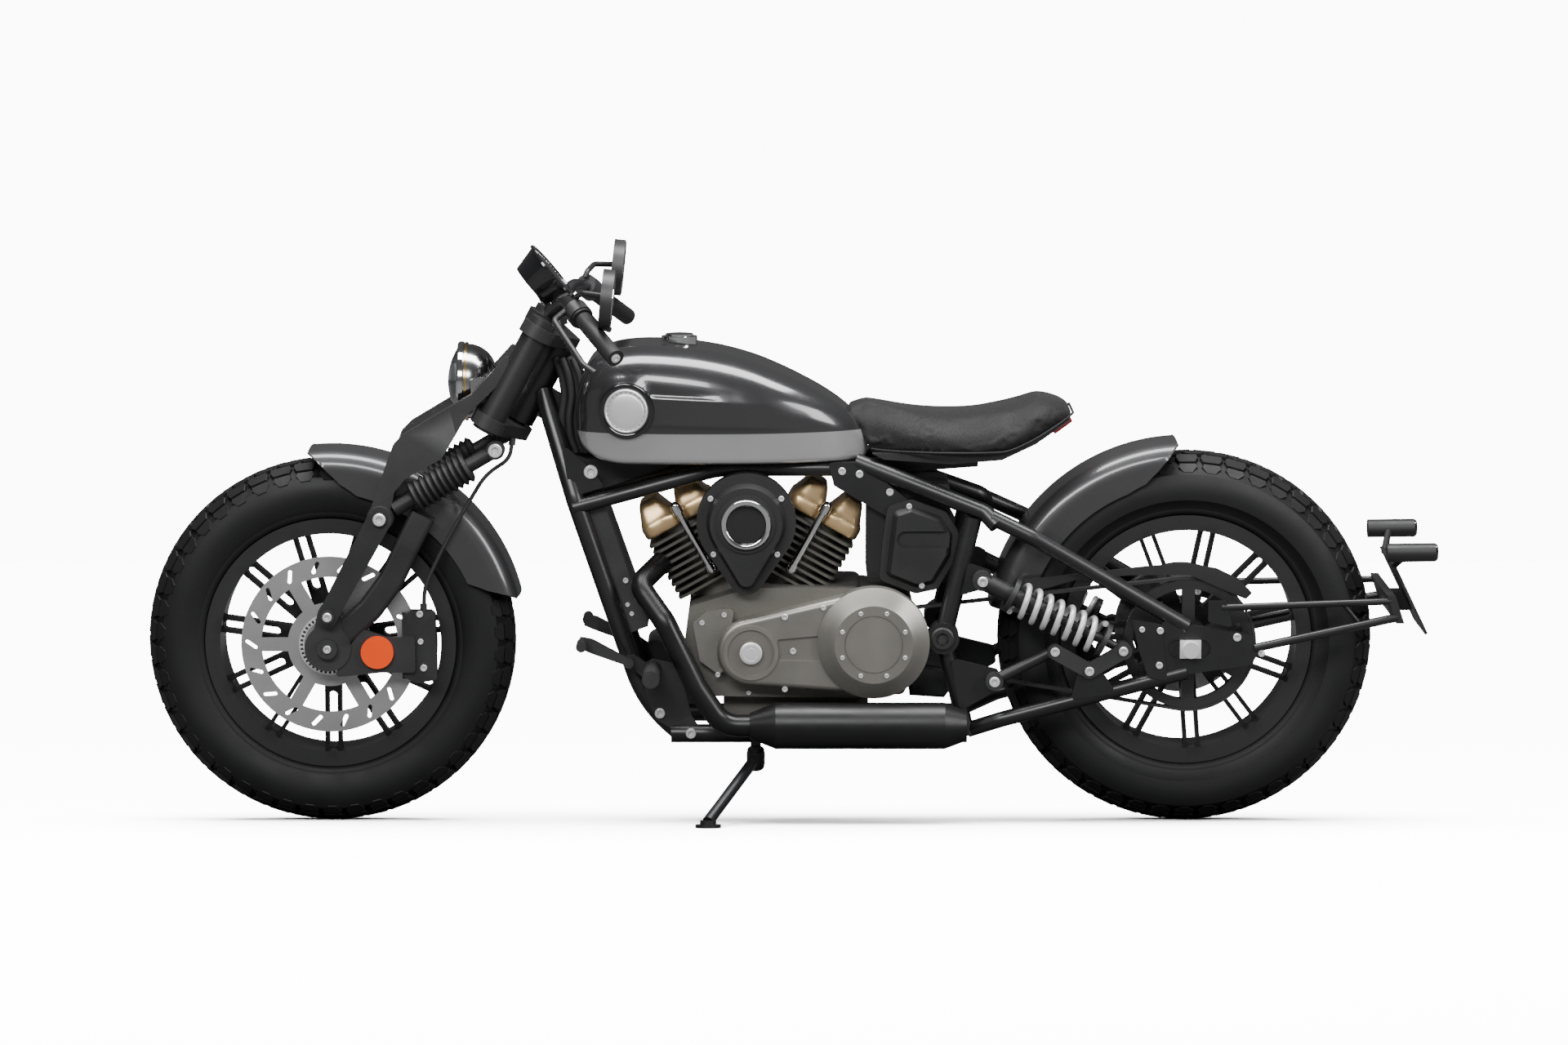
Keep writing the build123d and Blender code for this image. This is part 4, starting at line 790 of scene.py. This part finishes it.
def addBadges():
    chrome, black = bmesh.new(), bmesh.new()
    x, z = tank["badge"]
    face = along(tank["half"], x) + tank["bossRise"]
    for side in (1, -1):
        outward = tankNormal(x)
        outward.y *= side
        place = Vector((x, side * face, z))
        turnProfile(chrome, place, outward, badge["disc"], badge["steps"])
        turnProfile(black, place, outward, badge["ring"], badge["steps"])
        across = outward.cross(Vector((0, 0, 1))).normalized()
        up = across.cross(outward)
        for number in range(badge["beads"]):
            a = 2 * pi * number / badge["beads"]
            spot = place + outward * badge["beadRise"] + (across * cos(a) + up * sin(a)) * badge["beadR"]
            turnProfile(black, spot, outward, badge["bead"], badge["beadSteps"])
    disc = addPiece("tankBadges", chrome, paint["brightSteel"], "chassis", 40)
    ring = addPiece("badgeRings", black, paint["glossBlack"], "chassis", 40)


shell = tankShell()
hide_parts("fuel_tank")
addBadges()
print("tank")


# Seat: a leather pad over the pan, its foam puffed up by cloth, with piping round its foot
seat = {  # top, low and half: (x, value) down the seat
    "top": [(-157, 737), (-175, 736), (-202, 732), (-246, 723), (-288, 717), (-332, 715), (-375, 717),
            (-418, 725), (-447, 732), (-487, 744), (-512, 743), (-530, 738), (-541, 731)],
    "low": [(-157, 716), (-175, 690), (-190, 662), (-202, 657), (-300, 657), (-400, 658), (-429, 661),
            (-467, 677), (-504, 697), (-530, 712), (-541, 720)],
    "half": [(-157, 56), (-175, 66), (-202, 78), (-246, 102), (-288, 120), (-332, 129), (-380, 131),
             (-430, 129), (-470, 122), (-505, 104), (-530, 82), (-541, 66)],
    "rings": 60, "voxel": 0.005, "pressure": 4.0, "cap": 6.0, "frames": 20,
    "arc": 32, "sole": 12, "sideCurve": 0.62, "topCurve": 0.7,
}


def seatRing(x):
    high, low, half = along(seat["top"], x), along(seat["low"], x), along(seat["half"], x)
    ring = []
    for i in range(seat["arc"] + 1):
        a = pi * i / seat["arc"]
        y = half * abs(cos(a)) ** seat["sideCurve"] * (1 if cos(a) >= 0 else -1)
        z = low + (high - low) * abs(sin(a)) ** seat["topCurve"]
        ring.append(Vector((x, y, z)))
    for i in range(1, seat["sole"]):
        ring.append(Vector((x, -half * (1 - 2 * i / seat["sole"]), low)))
    return ring


def puffPad(pad):
    # Cloth with inner pressure; how far a point may move is capped, and the foot stays flat
    scene = bpy.context.scene
    pad.modifiers.new("even", "REMESH").mode = "VOXEL"
    pad.modifiers["even"].voxel_size = seat["voxel"]
    bpy.context.view_layer.objects.active = pad
    bpy.ops.object.modifier_apply(modifier="even")
    rest = [fromWorld @ vertex.co for vertex in pad.data.vertices]
    cloth = pad.modifiers.new("puff", "CLOTH")
    cloth.settings.use_pressure = True
    cloth.settings.uniform_pressure_force = seat["pressure"]
    cloth.settings.effector_weights.gravity = 0
    for step in range(1, seat["frames"] + 1):
        scene.frame_set(step)
    swollen = pad.evaluated_get(bpy.context.evaluated_depsgraph_get()).data
    places = [fromWorld @ vertex.co for vertex in swollen.vertices]
    pad.modifiers.remove(cloth)
    scene.frame_set(1)
    for vertex, start, now in zip(pad.data.vertices, rest, places):
        move = now - start
        if move.length > seat["cap"]:
            move *= seat["cap"] / move.length
        spot = start + move
        spot.z = max(spot.z, along(seat["low"], spot.x))
        vertex.co = toWorld @ spot


def addSeat():
    bm = bmesh.new()
    skinAlong(bm, seat, seatRing)
    pad = addPiece("seatCushion", bm, paint["seatLeather"], "chassis", 50)
    puffPad(pad)
    pad.modifiers.new("even", "SUBSURF").levels = 1
    pad.modifiers["even"].render_levels = 1
    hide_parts("seat_pad")


def tubeAlong(bm, points, radius, sides=10, closed=False):
    # A round cord or pipe along a list of points
    points = [Vector(point) for point in points]
    count = len(points)
    side = Vector((0, 0, 1))
    rings = []
    for i, point in enumerate(points):
        ahead = points[(i + 1) % count] if closed else points[min(i + 1, count - 1)]
        behind = points[i - 1] if closed or i else points[0]
        run = (ahead - behind).normalized()
        side = (side - run * side.dot(run)).normalized()
        other = run.cross(side)
        angles = [2 * pi * j / sides for j in range(sides)]
        rings.append([point + (side * cos(a) + other * sin(a)) * radius for a in angles])
    joinRings(bm, rings, closeEnds=closed, capEnds=not closed)


piping = {"front": -196, "rear": -541, "out": 0.5, "up": 2.5, "radius": 2.2, "steps": 60}


def addPiping():
    left, right = [], []
    for i in range(piping["steps"] + 1):
        x = piping["front"] + (piping["rear"] - piping["front"]) * i / piping["steps"]
        half, z = along(seat["half"], x), along(seat["low"], x) + piping["up"]
        left.append((x, half + piping["out"], z))
        right.append((x, -half - piping["out"], z))
    bm = bmesh.new()
    tubeAlong(bm, left + right[::-1], piping["radius"], 8, closed=True)
    piece = addPiece("seatPiping", bm, paint["seatLeather"], "chassis", 60)


addSeat()
addPiping()
print("seat")


# Turned trim
def bothSides(x, y, z, axis, profile):
    return [((x, y, z), axis, profile), ((x, -y, z), (axis[0], -axis[1], axis[2]), profile)]


lampX, lampZ = 503, 769
cleanerX, cleanerZ = 20, 541
discFace = 67
dialFace = Vector((356.5, 0, 961.5))
dialOut = Vector((-0.767, 0, 0.641)).normalized()
pushrodEnds = [(80.7, 451.5), (-56.7, 451.5), (142.2, 560.3), (-118.2, 560.3)]
ballProfile = [(-9, 0), (-8, 4.1), (-6.4, 6.3), (-4, 8), (0, 9), (4, 8), (6.4, 6.3), (8, 4.1), (9, 0)]
plugProfile = [(-2, 19.5), (2.2, 19), (3, 17.6), (3, 13), (2.2, 12.4), (2.2, 10), (3, 9.4), (3.2, 0)]
turnedTrim = [  # name, body, finish, slot and the turns as (centre, axis, profile)
    ("headlightBand", "steering", "goldRing", "chrome",
     [((lampX, 0, lampZ), (1, 0, 0), [(-2.2, 65), (-2.2, 67.8), (2.2, 68.4), (2.2, 65)])]),
    ("headlightRim", "steering", "chrome", "chrome",
     [((lampX + 5, 0, lampZ), (1, 0, 0), [(0, 65), (0, 69), (7, 69.4), (10, 67), (10, 62.5)])]),
    ("cleanerRing", "chassis", "chrome", "chrome",
     [((cleanerX, 165, cleanerZ), (0, 1, 0),
       [(-3, 43.5), (0.6, 43), (2.2, 41.5), (2.2, 36.5), (0.8, 34.2), (-4, 33.6)])]),
    ("cleanerCap", "chassis", "glossBlack", "black_plastic",
     [((cleanerX, 160, cleanerZ), (0, 1, 0), [(0, 34), (2.6, 33.4), (3.4, 31), (3.8, 20), (4, 0)])]),
    ("crankPlug", "chassis", "brightSteel", "chrome", [((12, 156, 318), (0, 1, 0), plugProfile)]),
    ("pushrodBalls", "chassis", "chrome", "chrome",
     [((x, 74, z), (0, 1, 0), ballProfile) for x, z in pushrodEnds]),
    ("hubRing", "front_wheel", "brightSteel", "chrome",
     [((frontAxle.x, discFace, frontAxle.z), (0, 1, 0), [(-2, 44), (1.6, 44), (1.6, 53), (-2, 53)])]),
    ("gaugeBezel", "steering", "glossBlack", "black_plastic",
     [(dialFace, dialOut, [(-1, 55), (2.5, 55), (3.5, 53.5), (3, 51), (0.4, 50)])]),
    ("gaugeDial", "steering", "blackPlastic", "black_plastic",
     [(dialFace, dialOut, [(-0.5, 50), (0.4, 50), (0.4, 0)])]),
    ("mirrorFaces", "steering", "mirrorGlass", "chrome",
     bothSides(240.5, 292, 939, (-1, 0, -0.1), [(-0.5, 47), (0.6, 46.4), (0.6, 0)])),
    ("indicatorLenses", "chassis", "glossBlack", "black_plastic",
     bothSides(-1156, 150, 492, (-1, 0, 0), [(-1, 15.2), (2, 15), (4.6, 12), (5.4, 6), (5.6, 0)])),
    ("barEnds", "steering", "brightSteel", "chrome",
     bothSides(235.2, 346.1, 846.3, (-0.4545, 0.7773, -0.4348),
               [(-0.5, 8), (2.4, 7.6), (3, 6), (3, 3.4), (1, 3.2), (1, 0)])),
]
for name, body, finish, slot, turns in turnedTrim:
    bm = bmesh.new()
    for centre, axis, profile in turns:
        turnProfile(bm, Vector(centre), Vector(axis).normalized(), profile, 64)
    addPiece(name, bm, paint[finish], body, 40)


def plateAt(bm, corners, thick):
    # A flat prism on four corner points, raised along their normal
    out = (corners[1] - corners[0]).cross(corners[2] - corners[1]).normalized() * thick
    joinRings(bm, [corners, [corner + out for corner in corners]], capEnds=True)


# Dial marks: inner end and half width of the long and the short ones
dial = {
    "marks": 33, "start": 225, "sweep": 270, "long": (36, 0.8), "short": (40, 0.45), "longEach": 4,
    "outer": 44.5, "lift": 0.4, "thick": 0.3,
}
# Dark notches round the ring at the front hub
notches = {"count": 40, "inner": 46, "outer": 51, "half": 1.8, "lift": 1.7, "thick": 0.4}


def addDialMarks():
    # Ticks round the dial, every fourth one longer
    bm = bmesh.new()
    right = Vector((0, -1, 0))
    up = dialOut.cross(right)
    up = up if up.z > 0 else -up
    base = dialFace + dialOut * dial["lift"]
    for number in range(dial["marks"]):
        a = radians(dial["start"] - dial["sweep"] * number / (dial["marks"] - 1))
        toRim = right * cos(a) + up * sin(a)
        across = dialOut.cross(toRim)
        inner, half = dial["short"] if number % dial["longEach"] else dial["long"]
        ends = [base + toRim * inner - across * half, base + toRim * dial["outer"] - across * half,
                base + toRim * dial["outer"] + across * half, base + toRim * inner + across * half]
        outward = (ends[1] - ends[0]).cross(ends[2] - ends[1]).dot(dialOut) > 0
        plateAt(bm, ends if outward else ends[::-1], dial["thick"])
    addPiece("dialMarks", bm, paint["dialWhite"], "steering", 30)


def addHubNotches():
    bm = bmesh.new()
    base = Vector((frontAxle.x, discFace + notches["lift"], frontAxle.z))
    for number in range(notches["count"]):
        a = 2 * pi * number / notches["count"]
        inner = base + Vector((cos(a), 0, sin(a))) * notches["inner"]
        outer = base + Vector((cos(a), 0, sin(a))) * notches["outer"]
        across = Vector((-sin(a), 0, cos(a))) * notches["half"]
        plateAt(bm, [inner - across, inner + across, outer + across, outer - across], notches["thick"])
    addPiece("hubNotches", bm, paint["beltRubber"], "front_wheel", 30)


addDialMarks()
addHubNotches()
print("turned trim")


# Head covers: the CAD's covers again with their edges rounded as a casting's are
castingForm = {"voxel": 0.0028, "factor": 0.5, "passes": 26}


def roundedCopy(node, name):
    source = frame["nodes"][node]
    piece = source.copy()
    piece.data = source.data.copy()
    piece.name = name
    shown.link(piece)
    bpy.context.view_layer.objects.active = piece
    remesh = piece.modifiers.new("even", "REMESH")
    remesh.mode = "VOXEL"
    remesh.voxel_size = castingForm["voxel"]
    bpy.ops.object.modifier_apply(modifier="even")
    soften = piece.modifiers.new("soften", "SMOOTH")
    soften.factor = castingForm["factor"]
    soften.iterations = castingForm["passes"]
    bpy.ops.object.modifier_apply(modifier="soften")
    piece.data.shade_smooth()
    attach(piece, "chassis")
    return piece


heads = roundedCopy("head_covers", "headCastings")
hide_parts("head_covers")
print("head covers")


# Cables at the steering head, the panels in the frame's front triangle and the case behind the clutch
loom = {
    "cables": [(352, 26, 7), (340, 34, 6), (330, 22, 8), (322, 36, 5), (346, 12, 6)],  # x, y, radius
    # Route of each: shift of x, shift of y and height
    "route": [(-2, 0, 812), (-14, 6, 786), (-20, 8, 748), (-14, 8, 712), (-16, 4, 676), (-26, 0, 650)],
    "steps": 6, "passes": 4,
}


def addLoom():
    bm = bmesh.new()
    for x, y, radius in loom["cables"]:
        for side in (1, -1):
            bend = [Vector((x + forward, side * (y + out), z)) for forward, out, z in loom["route"]]
            curve = []
            for near, far in zip(bend, bend[1:]):
                curve += [near.lerp(far, j / loom["steps"]) for j in range(loom["steps"])]
            curve.append(bend[-1])
            for _ in range(loom["passes"]):
                middle = [(curve[k - 1] + curve[k] * 2 + curve[k + 1]) / 4 for k in range(1, len(curve) - 1)]
                curve = [curve[0], *middle, curve[-1]]
            tubeAlong(bm, curve, radius, 10)
    addPiece("neckLoom", bm, paint["beltRubber"], "chassis", 40)


panelForms = {  # outline from the side, place across, thickness and bevel
    "neck": ([(332, 652), (326, 576), (300, 574), (150, 626), (150, 641), (300, 642)], 34, 10, 5),
    "case": ([(-262, 306), (-262, 226), (-322, 222), (-334, 238), (-334, 300)], 2, 46, 6),
}


def panelPair(form):
    # A panel on the left and one on the right, their outer edges bevelled
    outline, place, thick, bevel = panelForms[form]
    corners = [Vector((x, 0, z)) for x, z in outline]
    middle = sum(corners, Vector()) / len(corners)
    inner = [corner + (middle - corner).normalized() * bevel for corner in corners]
    bm = bmesh.new()
    for side in (1, -1):
        y = side * place
        rings = [[Vector((x, y, z)) for x, z in outline],
                 [Vector((x, y + side * (thick - bevel * 0.6), z)) for x, z in outline],
                 [Vector((point.x, y + side * thick, point.z)) for point in inner]]
        joinRings(bm, rings, capEnds=True)
    return bm


def addPanels():
    bm = panelPair("neck")
    addPiece("neckPanels", bm, paint["blackPlastic"], "chassis", 30)
    bm = panelPair("case")
    addPiece("rearCase", bm, paint["blackCasting"], "chassis", 30)


addLoom()
addPanels()
print("neck and case")


# Fenders: thin shells with a rounded crown and skirts cut back in a curve at their ends
fenders = [  # edge: angle up from straight ahead and radius of the skirt's edge; stay: (x, z), from y, to y
    {"name": "frontFenderShell", "node": "front_fender", "body": "steering", "axle": (740, 319), "outer": 337,
     "half": 74, "low": 262, "stay": ((578, 540), 72, 84),
     "edge": [(84, 335), (86.6, 320), (90, 300), (94.4, 280), (101, 264), (110, 262), (156, 262), (161, 290),
              (166, 334)]},
    {"name": "rearFenderShell", "node": "rear_fender", "body": "chassis", "axle": (-740, 325), "outer": 345,
     "half": 82, "low": 278, "stay": ((-510, 493), 80, 127),
     "edge": [(10, 278), (68, 278), (75, 285), (80, 302), (84, 322), (87, 343)]},
]
fenderForm = {"corner": 32, "wall": 3, "crown": 1.5, "across": 26, "stations": 96, "stayR": 8.5}


def skirtEdge(edge, angle):
    for (a1, r1), (a2, r2) in zip(edge, edge[1:]):
        if angle <= a2:
            return r1 + (r2 - r1) * (angle - a1) / (a2 - a1)
    return edge[-1][1]


def fenderSection(outer, half, skirt):
    # Points (y, r) with their normals from the skirt's edge to the middle of the crown
    corner = fenderForm["corner"]
    straight = max(outer - corner - skirt, 0)
    first = asin(max(skirt - outer + corner, 0) / corner)
    bend = corner * (pi / 2 - first)
    flat = half - corner
    total = straight + bend + flat
    points = []
    for i in range(fenderForm["across"] + 1):
        s = total * i / fenderForm["across"]
        if s <= straight:
            points.append((half, skirt + s, 1, 0))
        elif s <= straight + bend:
            a = first + (s - straight) / corner
            points.append((flat + corner * cos(a), outer - corner + corner * sin(a), cos(a), sin(a)))
        else:
            y = total - s
            points.append((y, outer + fenderForm["crown"] * (1 - (y / flat) ** 2), 0, 1))
    return points


def fenderRing(fender, angle):
    section = fenderSection(fender["outer"], fender["half"], skirtEdge(fender["edge"], angle))
    outside = [(y, r) for y, r, _, _ in section] + [(-y, r) for y, r, _, _ in section[-2::-1]]
    wall = fenderForm["wall"]
    inside = [(y - wall * ny, r - wall * nr) for y, r, ny, nr in section]
    inside = [(-y, r) for y, r in inside] + inside[-2::-1]
    x, z = fender["axle"]
    a = radians(angle)
    return [Vector((x + r * cos(a), y, z + r * sin(a))) for y, r in outside + inside]


for fender in fenders:
    bm = bmesh.new()
    first, last = fender["edge"][0][0], fender["edge"][-1][0]
    count = fenderForm["stations"]
    joinRings(bm, [fenderRing(fender, first + (last - first) * i / count) for i in range(count + 1)], capEnds=True)
    (x, z), inner, outer = fender["stay"]
    stayR = fenderForm["stayR"]
    for side in (1, -1):
        rod = [(0, 0), (0, stayR), (outer - inner, stayR), (outer - inner, 0)]
        turnProfile(bm, Vector((x, side * inner, z)), Vector((0, side, 0)), rod, 24)
    shell = addPiece(fender["name"], bm, paint["fenderPaint"], fender["body"], 35)
    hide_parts(fender["node"])
print("fenders")


# Stage: pale floor, soft studio light
studio = {
    "backdrop": 11.0, "ambient": 0.09, "floorSize": 60, "floorPale": 0.95, "floorBounce": 0.02,
    "floorSun": 38, "floorSpread": 70,
}
softboxes = [  # name, place, target, size, power
    ("topSoftbox", (0, 0.6, 3.2), (0, 0, 0.4), (3.6, 1.0), 230),
    ("keySoftbox", (1.2, 4.2, 2.4), (0, 0, 0.5), (3.6, 1.0), 190),
    ("rimSoftbox", (-2.6, 2.2, 1.6), (-0.4, 0, 0.5), (1.0, 1.8), 70),
]


def cameraSwitch(tree, output, kind, seen, unseen):
    # The camera sees one shader and every other ray the other
    tree.nodes.clear()
    result = tree.nodes.new(output)
    path = tree.nodes.new("ShaderNodeLightPath")
    choice = tree.nodes.new("ShaderNodeMixShader")
    tree.links.new(path.outputs["Is Camera Ray"], choice.inputs["Fac"])
    for slot, values in ((2, seen), (1, unseen)):
        shader = tree.nodes.new(kind)
        for label, value in values.items():
            shader.inputs[label].default_value = value
        tree.links.new(shader.outputs[0], choice.inputs[slot])
    tree.links.new(choice.outputs["Shader"], result.inputs["Surface"])


def makeStage():
    floorShape = bmesh.new()
    bmesh.ops.create_grid(floorShape, x_segments=1, y_segments=1, size=studio["floorSize"])
    mesh = bpy.data.meshes.new("studioFloor")
    floorShape.to_mesh(mesh)
    floorShape.free()
    floor = bpy.data.objects.new("studioFloor", mesh)
    shown.link(floor)
    material = bpy.data.materials.new("floorPale")
    material.use_nodes = True
    pale, bounce = [(studio[key],) * 3 + (1,) for key in ("floorPale", "floorBounce")]
    cameraSwitch(material.node_tree, "ShaderNodeOutputMaterial", "ShaderNodeBsdfDiffuse",
                 {"Color": pale}, {"Color": bounce})
    mesh.materials.append(material)
    world = bpy.data.worlds.new("studio")
    bpy.context.scene.world = world
    world.use_nodes = True
    white = (1, 1, 1, 1)
    cameraSwitch(world.node_tree, "ShaderNodeOutputWorld", "ShaderNodeBackground",
                 {"Strength": studio["backdrop"], "Color": white}, {"Strength": studio["ambient"], "Color": white})
    return floor


def addFloorSun(floor):
    # Lights the floor alone, so that it stays pale all the way back under a soft shadow
    data = bpy.data.lights.new("floorSun", "SUN")
    data.energy = studio["floorSun"]
    data.angle = radians(studio["floorSpread"])
    sun = bpy.data.objects.new("floorSun", data)
    shown.link(sun)
    receivers = bpy.data.collections.new("floorSunReceivers")
    receivers.objects.link(floor)
    sun.light_linking.receiver_collection = receivers


def addLight(name, place, target, size, power):
    data = bpy.data.lights.new(name, "AREA")
    data.shape = "RECTANGLE"
    data.size = size[0]
    data.size_y = size[1]
    data.energy = power
    light = bpy.data.objects.new(name, data)
    light.location = place
    light.rotation_euler = (Vector(target) - Vector(place)).to_track_quat("-Z", "Y").to_euler()
    shown.link(light)


addFloorSun(makeStage())
for name, place, target, size, power in softboxes:
    addLight(name, place, target, size, power)
